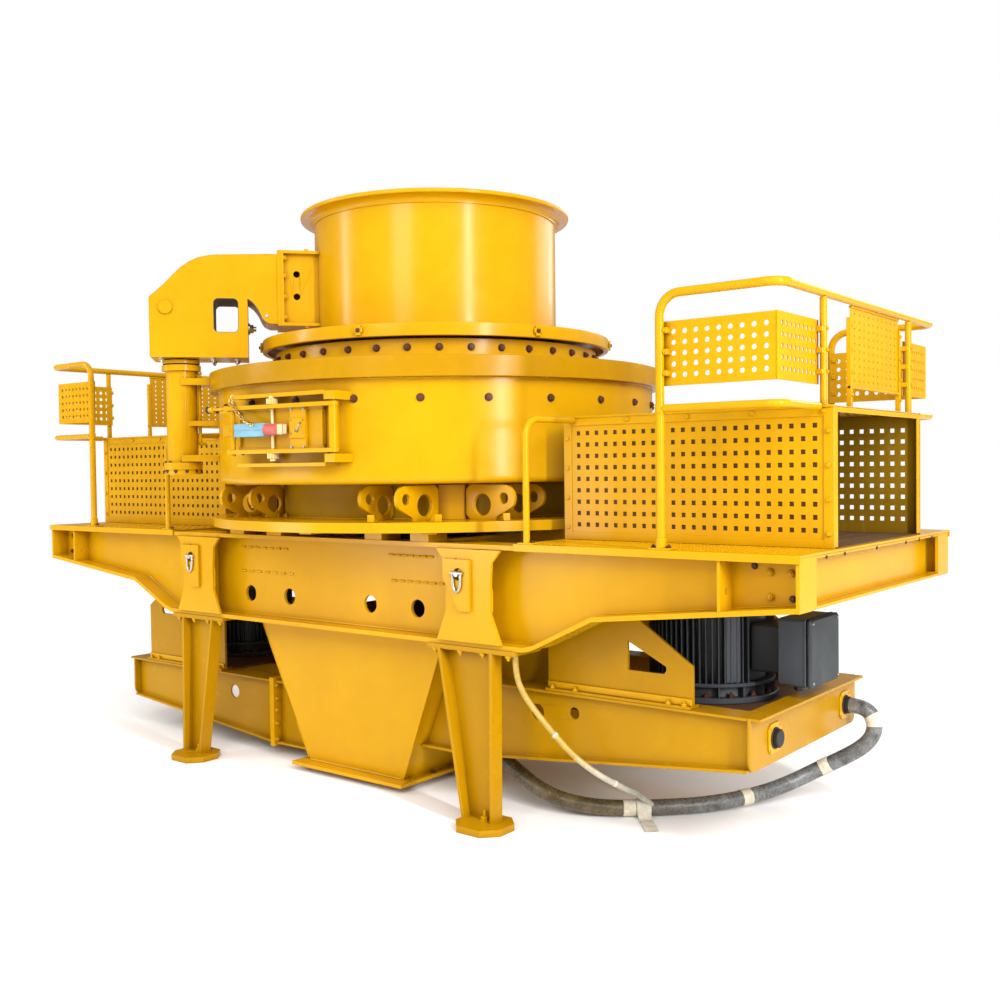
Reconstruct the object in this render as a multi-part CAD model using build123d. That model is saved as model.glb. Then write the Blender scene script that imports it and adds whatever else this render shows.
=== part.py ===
from build123d import *
import os
from math import cos, sin, radians, degrees, atan2, hypot, tan, acos, sqrt

# Vertical-shaft impact crusher.  Millimetres, +Z up, +X along the machine,
# origin on the ground under the vertical axis of the crushing chamber.

# ------------------------------------------------------------------ driving dimensions
DECK_TOP = 1234.5        # walking surface of the end platforms
DECK_HALF_L = 2434.0     # half length of the base frame
FLANGE_Y = 874.0         # outer edge of the girder flanges
WEB_Y = 775.0            # outer face of the girder webs
GIRDER_TOP = 1226.0
GIRDER_DEEP = 779.0      # underside of the deep middle part
GIRDER_END = 1030.0      # underside at the ends
FL_T = 20.0              # flange thickness
WEB_T = 16.0

CHAMBER_R = 1160.0
CHAMBER_Z0, CHAMBER_Z1 = 1488.0, 1960.0
COVER_R = 1204.0
COVER_Z1 = 2055.5
RING_R = 862.0
RING_Z1 = 2165.5
DISC_R = 929.0
DISC_Z0, DISC_Z1 = 2171.0, 2232.0
CUP_R = 230.0            # feed bore of the rotor
HOPPER_R = 648.0
HOPPER_FL_R = 716.0
HOPPER_TOP = 2900.0

JIB_ANGLE = 230.0        # plan angle of the jib column
COL_R = 1345.0           # its distance from the chamber axis
COL_RO, COL_RI = 78.0, 56.0
RAM_R = 55.9

DOOR_ANGLE = -86.0       # plan angle of the inspection door's middle
DOOR_N = 1200.0          # distance of the door bars from the axis

HOUSING_R = 860.0        # lower housing under the chamber
EAR_A = (385.0, 612.0)   # distance of the ears from the two middle planes

MF_R_TOP, MF_L_TOP = 572.0, 412.0      # top of the right and left motor frames
MF_END_R, MF_END_L = 2122.0, 2000.0    # their outer ends
MF_Y = 620.0                           # outer flange edge of their front beams
MF_BACK = 120.0                        # the back beams stand this much nearer to the middle
MOTOR_X = 1640.0                       # motor axes, left and right of the middle
SINK = 50.0                            # the right motor's base plate lies this deep below the beams' top

parts = {}
os.makedirs("parts", exist_ok=True)


def add(name, shape):
    if isinstance(shape, (list, tuple)):
        shape = Compound(children=[s for s in shape])
    parts[name] = shape


def bx(x0, x1, y0, y1, z0, z1):
    return Pos((x0 + x1) / 2, (y0 + y1) / 2, (z0 + z1) / 2) * Box(abs(x1 - x0), abs(y1 - y0), abs(z1 - z0))


def cz(x, y, z0, z1, r):
    return Pos(x, y, (z0 + z1) / 2) * Cylinder(r, z1 - z0)


def cy(x, y0, y1, z, r):
    return Pos(x, (y0 + y1) / 2, z) * Rot(90, 0, 0) * Cylinder(r, y1 - y0)


def cx(x0, x1, y, z, r):
    return Pos((x0 + x1) / 2, y, z) * Rot(0, 90, 0) * Cylinder(r, x1 - x0)


def ring(z0, z1, ro, ri):
    return cz(0, 0, z0, z1, ro) - cz(0, 0, z0 - 1, z1 + 1, ri)


def pxz(pts, y0, y1):
    f = make_face(Polyline([(x, y0, z) for x, z in pts], close=True))
    return extrude(f, amount=y1 - y0, dir=(0, 1, 0))


def pyz(pts, x0, x1):
    f = make_face(Polyline([(x0, y, z) for y, z in pts], close=True))
    return extrude(f, amount=x1 - x0, dir=(1, 0, 0))


def pxy(pts, z0, z1):
    f = make_face(Polyline([(x, y, z0) for x, y in pts], close=True))
    return extrude(f, amount=z1 - z0, dir=(0, 0, 1))


def mirx(s):
    return mirror(s, about=Plane.YZ)


def miry(s):
    return mirror(s, about=Plane.XZ)


def tube(pts, r, radii):
    if len(pts) == 2:
        path = Line(pts[0], pts[1])
    else:
        path = FilletPolyline(*pts, radius=radii)
    prof = Plane(origin=path @ 0, z_dir=path % 0) * Circle(r)
    return sweep(prof, path=path)


# ------------------------------------------------------------------ main girders
def bottom(x):
    x = abs(x)
    if x <= 1191:
        return GIRDER_DEEP
    if x <= 1560:
        t, s = x - 1191, 155.0 / 319.5
        return GIRDER_DEEP + (s * t * t / 198.0 if t < 99 else s * (t - 49.5))
    return 934 + (GIRDER_END - 934) * (x - 1560) / (DECK_HALF_L - 1560)


XE = DECK_HALF_L - 14
xs = [1191 + 99 * i / 8 for i in range(9)] + [1560]
half = [(x, bottom(x)) for x in xs] + [(XE, bottom(XE))]
low = [(-x, z) for x, z in reversed(half)] + half
girder = pxz(low + [(XE, GIRDER_TOP), (-XE, GIRDER_TOP)], -WEB_Y, -WEB_Y + WEB_T)
girder += pxz(low + [(x, z + FL_T) for x, z in reversed(low)], -FLANGE_Y, -720)
girder += bx(-XE, XE, -FLANGE_Y, -720, GIRDER_TOP - FL_T, GIRDER_TOP)
for s in (-1, 1):
    e0, e1 = sorted((s * XE, s * DECK_HALF_L))
    girder += bx(e0, e1, -FLANGE_Y, -720, bottom(XE), GIRDER_TOP)
    xx = 2120 if s > 0 else 2190
    b = bx(s * xx - 6, s * xx + 6, -FLANGE_Y + 3, -WEB_Y, bottom(xx), GIRDER_TOP)
    b -= cx(s * xx - 20, s * xx + 20, -WEB_Y - 45, 1086, 12)
    girder += b
for x in (-652, -348, 232, 540):
    girder -= cy(x, -WEB_Y - 30, -WEB_Y + 60, 908, 42)
add("main_girders", [girder, miry(girder)])

# end channels between the girders
zend = bottom(XE)
ch = bx(DECK_HALF_L - 68, DECK_HALF_L - 56, -720, 720, zend, GIRDER_TOP)
ch += bx(DECK_HALF_L - 56, DECK_HALF_L, -720, 720, zend, zend + 12)
ch += bx(DECK_HALF_L - 56, DECK_HALF_L, -720, 720, GIRDER_TOP - 12, GIRDER_TOP)
add("end_channels", [ch, mirx(ch)])

# cross members under the chamber and under the platforms
cm = []
for x in (560, 1215, 1900):
    z0 = 950 if x < 600 else 1040
    b = bx(x - 8, x + 8, -WEB_Y + WEB_T, WEB_Y - WEB_T, z0, GIRDER_TOP - FL_T)
    b += bx(x - 60, x + 60, -720, 720, z0, z0 + 14)
    b += bx(x - 60, x + 60, -720, 720, GIRDER_TOP - 14, GIRDER_TOP)
    b += bx(x - 8, x + 8, -720, 720, z0, GIRDER_TOP)
    cm += [b, mirx(b)]
add("cross_members", cm)

# platform deck plates with a folded lip
dk = bx(1180, DECK_HALF_L + 6, -FLANGE_Y - 8, FLANGE_Y + 8, GIRDER_TOP, DECK_TOP)
dk += bx(1180, DECK_HALF_L + 6, -FLANGE_Y - 8, -FLANGE_Y - 1, GIRDER_TOP - 22, DECK_TOP)
dk += bx(1180, DECK_HALF_L + 6, FLANGE_Y + 1, FLANGE_Y + 8, GIRDER_TOP - 22, DECK_TOP)
add("deck_plates", [dk, mirx(dk)])

# ------------------------------------------------------------------ legs
FOOT_T = 30.0
LEG_ZT = GIRDER_DEEP - 18
ANCHOR_X, ANCHOR_YO, ANCHOR_YI, ANCHOR_R = 1000.0, 867.0, 800.0, 13.0


def leg_section(x0, x1, y0, y1, z, t=16, w=14):
    # channel section in a horizontal plane: a web at the back and two flanges towards the outside
    pts = [(x0, y0), (x0 + t, y0), (x0 + t, y1 - w), (x1 - t, y1 - w), (x1 - t, y0), (x1, y0), (x1, y1), (x0, y1)]
    return make_face(Polyline([(x, y, z) for x, y in pts], close=True))


def one_leg(b0, b1, t0, t1, p0, p1):
    # b0..b1 along X at the foot, t0..t1 at the top, p0..p1 the top plate
    g = loft([leg_section(b0, b1, -895, -825, FOOT_T), leg_section(t0, t1, -884, -812, LEG_ZT)], ruled=True)
    g += bx(p0, p1, -884, -700, LEG_ZT, GIRDER_DEEP)
    sg = 1 if b0 > 0 else -1
    g += pxy([(sg * x, y) for x, y in [(886, -930), (945, -996), (1070, -996), (1132, -930), (1132, -832), (1070, -768), (945, -768), (886, -832)]],
             0, FOOT_T)
    for ay in (-ANCHOR_YO, -ANCHOR_YI):
        g -= cz(sg * ANCHOR_X, ay, -5, FOOT_T + 5, ANCHOR_R)
    return g


leg_r = one_leg(888, 1062, 750, 1060, 690, 1185)
leg_l = one_leg(-1105, -955, -1108, -845, -1185, -760)
add("support_legs", [leg_r, leg_l, miry(leg_r), miry(leg_l)])

# ------------------------------------------------------------------ lifting brackets over the legs
def lift_bracket(xc):
    pl = pxz([(xc - 180, 1204), (xc + 180, 1204), (xc + 132, 1150), (xc + 125, 1050), (xc + 125, 930), (xc + 180, 800),
              (xc - 180, 800), (xc - 125, 930), (xc - 125, 1050), (xc - 132, 1150)], -889, -875)
    pl -= cy(xc - 62, -900, -860, 1150, 14)
    hook = pxz([(xc - 128, 1160), (xc + 22, 1160), (xc + 22, 935), (xc - 38, 935), (xc - 128, 1075)], -904, -889)
    hook -= cy(xc - 40, -920, -880, 1095, 28)
    pl -= cy(xc - 40, -920, -860, 1095, 28)
    back = bx(xc - 30, xc + 30, -875, -WEB_Y, 805, 1200)
    return pl + hook + back


lb = lift_bracket(-950)
rb = lift_bracket(935)
add("lifting_brackets", [lb, rb, miry(lb), miry(rb)])

# ------------------------------------------------------------------ discharge chute
CH_TX, CH_TY, CH_BX, CH_BY = 645.0, 716.0, 330.0, 668.0
CH_Z0, CH_Z1 = 44.0, 776.0
CH_T = 9.0
BT_Y, BT_Z0, BT_Z1 = 210.0, 240.0, 400.0       # passage of the belt guard


def frustum(tx, ty, bxx, by, z0, z1):
    return loft([make_face(Polyline([(-bxx, -by, z0), (bxx, -by, z0), (bxx, by, z0), (-bxx, by, z0)], close=True)),
                 make_face(Polyline([(-tx, -ty, z1), (tx, -ty, z1), (tx, ty, z1), (-tx, ty, z1)], close=True))], ruled=True)


def xw(z):
    return CH_BX + (CH_TX - CH_BX) * (z - CH_Z0) / (CH_Z1 - CH_Z0)


chute = frustum(CH_TX, CH_TY, CH_BX, CH_BY, CH_Z0, CH_Z1)
chute += bx(-387, 387, -745, 745, CH_Z0 - 14, CH_Z0 + 4)
sx_, sy_ = (CH_TX - CH_BX) / (CH_Z1 - CH_Z0), (CH_TY - CH_BY) / (CH_Z1 - CH_Z0)
chute -= frustum(CH_TX - CH_T + 20 * sx_, CH_TY - CH_T + 20 * sy_, CH_BX - CH_T - 20 * sx_, CH_BY - CH_T - 20 * sy_, CH_Z0 - 20, CH_Z1 + 20)
for hx in (-1, 1):
    for k in range(5):
        chute -= cz(hx * 360, -640 + 320 * k, 20, 60, 9)
chute -= bx(-700, 700, -BT_Y, BT_Y, BT_Z0, BT_Z1)
add("discharge_chute", chute)

# ------------------------------------------------------------------ ring plate with pads, and lower housing
RP_Z0, RP_Z1 = 1272.0, 1318.0
rp = ring(RP_Z0, RP_Z1, 1196, HOUSING_R - 60)
for x in (-640, -350, 350, 640):
    for sy in (-1, 1):
        y0, y1 = sorted((sy * 870, sy * 740))
        rp += bx(x - 55, x + 55, y0, y1, GIRDER_TOP, RP_Z0)
add("base_ring_plate", rp)
add("lower_housing", ring(RP_Z1, CHAMBER_Z0, HOUSING_R, HOUSING_R - 35))


def ear(s0, big, big_r):
    # outline of an ear in its own plane: first number outwards from the middle plane, second number up
    z0, zt, cs, cz_, r = RP_Z1, 1480.0, 930.0, 1417.0, 62.0
    lobe = [(cs + r * cos(radians(90 - 12.5 * i)), cz_ + r * sin(radians(90 - 12.5 * i))) for i in range(11)]
    p = [(s0, z0 + 22), (s0, zt - 22), (s0 + 22, zt)] + lobe + [(950, 1363), (925, 1350), (902, 1339), (890, 1330), (887, z0), (s0 + 22, z0)]
    return p, [(big, 1387.0, big_r), (cs, cz_, 25.7)]


lugs = []
for a, s0, big, big_r in ((EAR_A[0], 776, 838, 44), (EAR_A[1], 712, 806, 51)):
    p, holes = ear(s0, big, big_r)
    for sa in (-1, 1):
        c = sa * a
        e = pyz([(-q, z) for q, z in p], c - 10, c + 10)
        for q, z, r in holes:
            e -= cx(c - 30, c + 30, -q, z, r)
        lugs += [e, miry(e)]
        e = pxz(p, c - 10, c + 10)
        for q, z, r in holes:
            e -= cy(q, c - 30, c + 30, z, r)
        lugs += [e, mirx(e)]
for ang in (45, 135, 225, 315):
    lugs.append(Rot(0, 0, ang) * bx(HOUSING_R + 6, 925, -62, 62, RP_Z1, 1480))
add("housing_lugs", lugs)

# ------------------------------------------------------------------ crushing chamber
body = cz(0, 0, CHAMBER_Z0, CHAMBER_Z1, CHAMBER_R)
body = fillet(body.edges().filter_by(GeomType.CIRCLE).sort_by(Axis.Z)[0], 28)
body -= cz(0, 0, CHAMBER_Z0 + 20, CHAMBER_Z1 + 1, CHAMBER_R - 20)
body -= cz(0, 0, CHAMBER_Z0 - 1, CHAMBER_Z0 + 30, HOUSING_R - 60)


def dloc(s):
    # door frame: local X to the right along the wall, local -Y outward, turned to the door's angle
    return Rot(0, 0, DOOR_ANGLE + 90) * s


def dbx(u0, u1, n0, n1, z0, z1):
    return dloc(bx(u0, u1, -n1, -n0, z0, z1))


OP_U, OP_Z0, OP_Z1 = 225.0, 1668.0, 1824.0
body -= dbx(-OP_U, OP_U, 1060, 1250, OP_Z0, OP_Z1)
add("chamber_body", body)
add("chamber_cover", ring(COVER_Z1 - 30, COVER_Z1, COVER_R, 330) + ring(CHAMBER_Z1, COVER_Z1 - 30, COVER_R, 1110))
add("cover_bolt_ring", ring(COVER_Z1, RING_Z1, RING_R, 720))

# rotor: a closed drum with a feed cup, on the bearing housing
add("rotor_drum", cz(0, 0, 1560, 1830, 430) - cz(0, 0, 1640, 1835, CUP_R))
bh = cz(0, 0, 1250, 1560, 240) + cz(0, 0, BT_Z1 - 4, 1250, 150)
bh += bx(-552, 552, -60, 60, 1080, 1190)
add("bearing_housing", bh)

# door surround and rails on the wall, hinge post
wall = cz(0, 0, 1400, 2000, CHAMBER_R)
sur = [dbx(-300, 300, 1080, 1166, OP_Z1, OP_Z1 + 30) - wall, dbx(-300, 300, 1080, 1166, OP_Z0 - 30, OP_Z0) - wall,
       dbx(-300, -OP_U, 1080, 1166, OP_Z0, OP_Z1) - wall, dbx(OP_U, 300, 1080, 1166, OP_Z0, OP_Z1) - wall]
rl1 = dbx(-290, 296, 1130, 1212, 1890, 1908) - wall
rl2 = dbx(-265, 296, 1130, 1212, 1572, 1588) - wall
add("door_surround", [s for k in sur + [rl1, rl2] for s in k.solids()])
HP_U = 335.0
lh = dbx(HP_U - 30, HP_U + 28, 1080, DOOR_N + 28, 1864, 1902) - wall
ll = dbx(HP_U - 30, HP_U + 28, 1080, DOOR_N + 28, 1588, 1626) - wall
add("door_hinge_post", lh + ll + dloc(cz(HP_U, -DOOR_N, 1600, 1890, 13)))

# door: leaf, bars with knuckles, bolts and interlock
add("door_leaf", dbx(-262, 262, 1172, 1182, OP_Z0 - 26, OP_Z1 + 26))
BU0, BU1 = 1838.0, 1857.0
BL0, BL1 = 1633.0, 1652.0
fr = None
for z0, z1 in ((BU0, BU1), (BL0, BL1)):
    b = dbx(-318, HP_U, 1183, 1224, z0, z1)
    b += dloc(cz(HP_U, -DOOR_N, z0, z1, 24))
    fr = b if fr is None else fr + b
fr += dbx(72, 168, 1182, 1200, BL0, BU1)
fr += dloc(cz(HP_U, -DOOR_N, BL0, BU1, 20))
fr -= dloc(cz(HP_U, -DOOR_N, 1500, 2000, 13.08))
fr -= dloc(cz(-295, -DOOR_N - 4, 1500, 2000, 11))
fr -= dloc(cz(-36, -DOOR_N - 4, 1500, 2000, 10))
add("door_frame", fr)
bolt = dloc(cz(-295, -DOOR_N - 4, 1624, 1880, 11)) + dloc(cz(-295, -DOOR_N - 4, 1857, 1874, 17))
screw1 = dloc(cz(-36, -DOOR_N - 4, BU0 - 4, 1884, 10)) + dloc(cz(-36, -DOOR_N - 4, BU1, 1884, 24))
screw2 = dloc(cz(-36, -DOOR_N - 4, 1610, BL1 + 4, 10)) + dloc(cz(-36, -DOOR_N - 4, 1610, BL0, 24))
plunger = dloc(Pos(-376, -DOOR_N - 4, 1848) * Rot(0, 90, 0) * Cylinder(7, 112)) + dloc(Pos(-445, -DOOR_N - 4, 1848) * Rot(0, 90, 0) * Cylinder(13, 34))
add("door_bolts", [bolt, screw1, screw2, plunger])
add("interlock_box", dbx(-252, -60, 1196, 1240, 1712, 1772))
plg = dloc(Pos(-21, -1218, 1742) * Rot(0, 90, 0) * Cylinder(27, 78))
plg += dbx(18, 56, 1204, 1232, 1718, 1766)
add("interlock_plug", plg)

# ------------------------------------------------------------------ jib column, ram and jib
def jl(s):
    # jib frame: local +X away from the chamber through the column, turned to the jib's angle
    return Rot(0, 0, JIB_ANGLE) * s


col = cz(COL_R, 0, 1566, 2104, COL_RO) + cz(COL_R, 0, 2074, 2104, 98) + cz(COL_R, 0, 1566, 1602, 97)
col += cz(COL_R, 0, 1540, 1566, 90)
for z0, z1, hw in ((1606, 1640, 100), (2000, 2034, 88), (1790, 1816, 70)):
    col += bx(1100, COL_R, -hw, hw, z0, z1) - wall - cz(0, 0, 1900, 2100, COVER_R)
col -= cz(COL_R, 0, 1640, 2110, COL_RI)
add("jib_column", jl(col))

ram = cz(COL_R, 0, 1646, 2112, RAM_R) + cz(COL_R, 0, 2109.5, 2130.5, 92) + cz(COL_R, 0, 2130, 2200, 39.9)
add("lift_ram", jl(ram))

AW = 145.0
outline = [(1485, 2136), (1485, 2437), (1452, 2466), (1415, 2500), (1372, 2545), (1331, 2586), (1290, 2616), (1247, 2638),
           (1203, 2650), (1158, 2656), (848, 2668), (848, 2312), (885, 2312), (905, 2320), (920, 2330), (932, 2350), (945, 2380),
           (960, 2402), (975, 2420), (1001, 2438), (1001, 2136)]
arm = pxz(outline, -AW, AW)
inner = [(1471, 2154), (1471, 2431), (1405, 2491), (1321, 2574), (1283, 2603), (1242, 2624), (1158, 2642), (862, 2654),
         (862, 2326), (900, 2334), (912, 2344), (948, 2412), (966, 2432), (1015, 2452), (1015, 2154)]
arm -= pxz(inner, -AW + 14, AW - 14)
lining = fillet(bx(1035, 1184, -AW + 1, AW - 1, 2252, 2450).edges().filter_by(Axis.Y), 34)
slotbox = fillet(bx(1047, 1172, -AW - 20, AW + 20, 2264, 2438).edges().filter_by(Axis.Y), 26)
arm += lining
arm -= slotbox
arm -= cz(COL_R, 0, 2100, 2170, 40.0)
arm -= cz(COL_R, 0, 2153, 2300, 60.0)
arm += cy(1408, -AW - 14, -AW + 4, 2388, 34) + cy(1408, AW - 4, AW + 14, 2388, 34)
arm += bx(832, 848, -150, 150, 2302, 2690)
add("jib_arm", jl(arm))

stub = bx(816, 832, -150, 150, 2302, 2690)
stub += bx(560, 816, -150, 150, 2674, 2690) + bx(560, 816, -150, 150, 2302, 2318)
stub += bx(560, 816, -118, -104, 2318, 2674) + bx(560, 816, 104, 118, 2318, 2674)
for z in (2456, 2572):
    stub -= cy(750, -200, 200, z, 17)
stub -= cz(0, 0, 2200, 2800, HOPPER_R)
add("hopper_bracket", jl(stub))

FEED_R = 250.0
add("feed_hopper", ring(DISC_Z1, HOPPER_TOP, HOPPER_R, HOPPER_R - 10) + ring(HOPPER_TOP - 20, HOPPER_TOP, HOPPER_FL_R, HOPPER_R - 10))
add("hopper_cover", ring(DISC_Z1 - 24, DISC_Z1, DISC_R, FEED_R) + ring(DISC_Z0, DISC_Z1 - 24, DISC_R, DISC_R - 26))

# ------------------------------------------------------------------ motor frames
MX0 = 710.0
T = 12.0


def motor_frame(sx, xend, ztop, zj, ze, yo):
    """Beams, end channel, base plate and joint plates of one motor frame; sx is +1 (right) or -1 (left)."""
    def flip(s):
        return s if sx > 0 else mirx(s)
    sl = (ze - zj) / (xend - MX0)
    beams = []
    yf, yb = yo, yo - MF_BACK
    for sy in (-1, 1):
        yo = yf if sy < 0 else yb
        y0, y1 = sorted((sy * (yo - 52), sy * (yo - 40)))
        zl = zj + sl * (xend - T - MX0)
        w = pxz([(MX0, zj), (xend - T, zl), (xend - T, ztop), (MX0, ztop)], y0, y1)
        f0, f1 = sorted((sy * (yo - 40), sy * yo))
        w += pxz([(MX0, ztop - T), (xend - T, ztop - T), (xend - T, ztop), (MX0, ztop)], f0, f1)
        w += pxz([(MX0, zj), (xend - T, zl), (xend - T, zl + T), (MX0, zj + T)], f0, f1)
        g0, g1 = sorted((sy * (yo - 52), sy * (yo - 130)))
        w += pxz([(MX0, ztop - T), (xend - T, ztop - T), (xend - T, ztop), (MX0, ztop)], g0, g1)
        for hx, hz, hr in ((1075, ztop - 112, 36), (1275, ztop - 94, 26)):
            w -= cy(hx, min(y0, y1) - 30, max(y0, y1) + 30, hz, hr)
        beams.append(flip(w))
        # stub beam from the joint plate to the chute wall
        s = pxz([(xw(zj), zj), (MX0 - 32, zj), (MX0 - 32, ztop), (xw(ztop), ztop)], y0, y1)
        s += pxz([(xw(zj), zj), (MX0 - 32, zj), (MX0 - 32, zj + T), (xw(zj + T), zj + T)], f0, f1)
        s += pxz([(xw(ztop - T), ztop - T), (MX0 - 32, ztop - T), (MX0 - 32, ztop), (xw(ztop), ztop)], f0, f1)
        beams.append(flip(s))
    q = 45.0
    low = [(yb - q + q * sin(radians(a)), ze - 2 + q - q * cos(radians(a))) for a in (0, 22.5, 45, 67.5, 90)]
    low2 = [(-yf + q - q * sin(radians(a)), ze - 2 + q - q * cos(radians(a))) for a in (90, 67.5, 45, 22.5, 0)]
    e = pyz(low + [(yb, ztop), (-yf, ztop)] + low2, xend - T, xend)
    e += bx(xend - 60, xend - T, -yf + 53, yb - 53, ze - 2, ze + 10)
    e += bx(xend - 60, xend - T, -yf + 131, yb - 131, ztop - T, ztop)
    e += bx(xend, xend + 42, -yf + 6, yb - 6, ztop - T, ztop)
    if sx > 0:
        zp = ztop - SINK
        plate = bx(1180, xend - T - 1, -yf + 53, yb - 53, zp - 14, zp) - cz(MOTOR_X, 0, zp - 40, zp + 10, 190)
        plate -= bx(MOTOR_X + 150, xend - 70, -yf + 70, -300, zp - 40, zp + 10)
    else:
        plate = bx(1180, xend - 62, -yf + 131, yb - 131, ztop - 14, ztop) - cz(MOTOR_X, 0, ztop - 40, ztop + 10, 190)
    jp = []
    for sy in (-1, 1):
        yo = yf if sy < 0 else yb
        y0, y1 = sorted((sy * (yo + 14), sy * (yo - 75)))
        jp.append(flip(bx(MX0 - 32, MX0, y0, y1, zj - 14, ztop + 16)))
    return beams, flip(e), flip(plate), jp


R = motor_frame(1, MF_END_R, MF_R_TOP, 214.0, 356.0, MF_Y)
L = motor_frame(-1, MF_END_L, MF_L_TOP, 66.0, 182.0, MF_Y - 20)
add("motor_frame_beams", R[0] + L[0])
add("motor_frame_ends", [R[1], L[1]])
add("motor_base_plates", [R[2], L[2]])
add("frame_joint_plates", R[3] + L[3])

# belt guard: one closed casing through the chute, with the motors' pulleys at its ends
bg = bx(-MOTOR_X, MOTOR_X, -BT_Y + 4, BT_Y - 4, BT_Z0 + 4, BT_Z1 - 4)
bg += cz(MOTOR_X, 0, BT_Z0 + 4, BT_Z1 - 4, BT_Y - 4) + cz(-MOTOR_X, 0, BT_Z0 + 4, BT_Z1 - 4, BT_Y - 4)
bg += cz(MOTOR_X, 0, BT_Z1 - 10, MF_R_TOP - SINK, 180) + cz(-MOTOR_X, 0, BT_Z1 - 10, MF_L_TOP, 180)
add("belt_guard", bg)


# hanger plates from the cross members down to the motor frames
def hanger(sx, ztop, yf):
    h = []
    for sy in (-1, 1):
        yo = yf if sy < 0 else yf - MF_BACK
        y0, y1 = sorted((sy * (yo - 46), sy * (yo - 31)))
        s = pxz([(1146, ztop), (1146, 1040), (1460, 1040), (1617, 912), (1862, 744), (1862, ztop)], y0, y1)
        s -= pxz([(1556, 822), (1556, 700), (1728, 700), (1740, 716), (1738, 731)], y0 - 5, y1 + 5)
        f0, f1 = sorted((sy * (yo - 4), sy * (yo - 80)))
        s += bx(1146, 1862, f0, f1, ztop, ztop + 12)
        h.append(s if sx > 0 else mirx(s))
    return h


add("hanger_plates", hanger(1, MF_R_TOP, MF_Y) + hanger(-1, MF_L_TOP, MF_Y - 20))

# ------------------------------------------------------------------ motors
mot, tbs = [], []
for sx, z0 in ((1, MF_R_TOP - SINK), (-1, MF_L_TOP)):
    x = MOTOR_X
    m = cz(x, 0, z0, z0 + 26, 300) + cz(x, 0, z0 + 26, z0 + 70, 250) + cz(x, 0, z0 + 70, z0 + 430, 285) + cz(x, 0, z0 + 430, z0 + 508, 262)
    m += bx(x + 240, 2042, -95, 95, z0 + 130, z0 + 340)
    b = bx(2042, 2190, -178, 132, z0 + 98, z0 + 388)
    mot.append(m if sx > 0 else mirx(m))
    tbs.append(b if sx > 0 else mirx(b))
add("drive_motors", mot)
add("terminal_boxes", tbs)

# ------------------------------------------------------------------ platforms, rails and panels
BOX_X0, BOX_X1, BOX_Y, BOX_Z1 = 1189.0, 2418.0, 508.0, 1775.0
pf = bx(BOX_X0, BOX_X1, -BOX_Y, -BOX_Y + 6, DECK_TOP, BOX_Z1 - 6)
add("platform_sides", [pf, mirx(pf), miry(pf), mirx(miry(pf))])
pt = bx(BOX_X0, BOX_X1, -BOX_Y, BOX_Y, BOX_Z1 - 6, BOX_Z1)
add("platform_tops", [pt, mirx(pt)])

TR = 17.0
RAIL_Y = 858.0
RAIL_Z, LOW_Z = 2205.0, 1772.0
guard, lows, panels, mids, grabs = [], [], [], [], []
for sx, xp, xc in ((1, 1874.0, 2365.0), (-1, 1985.0, 2405.0)):
    guard.append(tube([(sx * xp, -RAIL_Y, DECK_TOP), (sx * xp, -RAIL_Y, RAIL_Z), (sx * xc, -RAIL_Y, RAIL_Z), (sx * xc, RAIL_Y, RAIL_Z),
                       (sx * xp, RAIL_Y, RAIL_Z), (sx * xp, RAIL_Y, DECK_TOP)], TR, [85, 60, 60, 85]))
    for sy in (-1, 1):
        lows.append(tube([(sx * (xp + TR), sy * RAIL_Y, LOW_Z), (sx * xc, sy * RAIL_Y, LOW_Z), (sx * xc, sy * (BOX_Y + 20), LOW_Z)], TR - 2, [50]))
        lows.append(cz(sx * xc, -475 if sy < 0 else 512, BOX_Z1, RAIL_Z - TR, TR - 3))
        y0, y1 = sorted((sy * (RAIL_Y - TR - 6), sy * (RAIL_Y - TR - 10)))
        a0, a1 = sorted((sx * (xp + 2), sx * (xc - TR - 6)))
        b0, b1 = sorted((sx * (xc - TR - 6), sx * (xc - TR - 10)))
        c0, c1 = sorted((sy * (RAIL_Y - TR - 6), -468 if sy < 0 else 505))
        panels.append(bx(a0, a1, y0, y1, 1858, 2103) + bx(b0, b1, c0, c1, 1858, 2103))
    b0, b1 = sorted((sx * (xc - 8), sx * (xc - 12)))
    mp = bx(b0, b1, -172, 397, 1860, RAIL_Z - TR - 1)
    mp += bx(b0 - 8, b1 + 8, -190, -170, BOX_Z1, 2140) + bx(b0 - 8, b1 + 8, 395, 409, BOX_Z1, 2140)
    mids.append(mp)
    for sy in (-1, 1):
        grabs.append(tube([(sx * 1240, sy * 866, DECK_TOP), (sx * 1240, sy * 866, 1758), (sx * 1240, sy * BOX_Y, 1758)], 14, [80]))
add("guard_rails", guard)
add("lower_rails", lows)
add("rail_panels", panels + mids)
add("grab_handles", grabs)

# ------------------------------------------------------------------ cable glands, hose bundle and thin hose
HOSE_R = 35.0
THIN_R = 13.0
GX, GY, GZ = 503.0, -442.0, 332.2          # where the bundle enters the chute's gland
gl = [cx(MF_END_R, MF_END_R + 8, -396, 455, 46) + cx(MF_END_R + 8, MF_END_R + 30, -396, 455, 38),
      cx(MF_END_R, MF_END_R + 8, 365, 455, 46) + cx(MF_END_R + 8, MF_END_R + 30, 365, 455, 38)]
slope = atan2(CH_TX - CH_BX, CH_Z1 - CH_Z0)
n3 = Vector(cos(slope), 0, -sin(slope))
g3 = Vector(GX, GY, GZ)
wallpt = g3 - n3 * ((GX - xw(GZ)) * cos(slope))
glen = (g3 - wallpt).length
gl.append(Plane(origin=(wallpt + g3) / 2, z_dir=n3) * Cylinder(48, glen))
add("cable_glands", gl)

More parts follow.
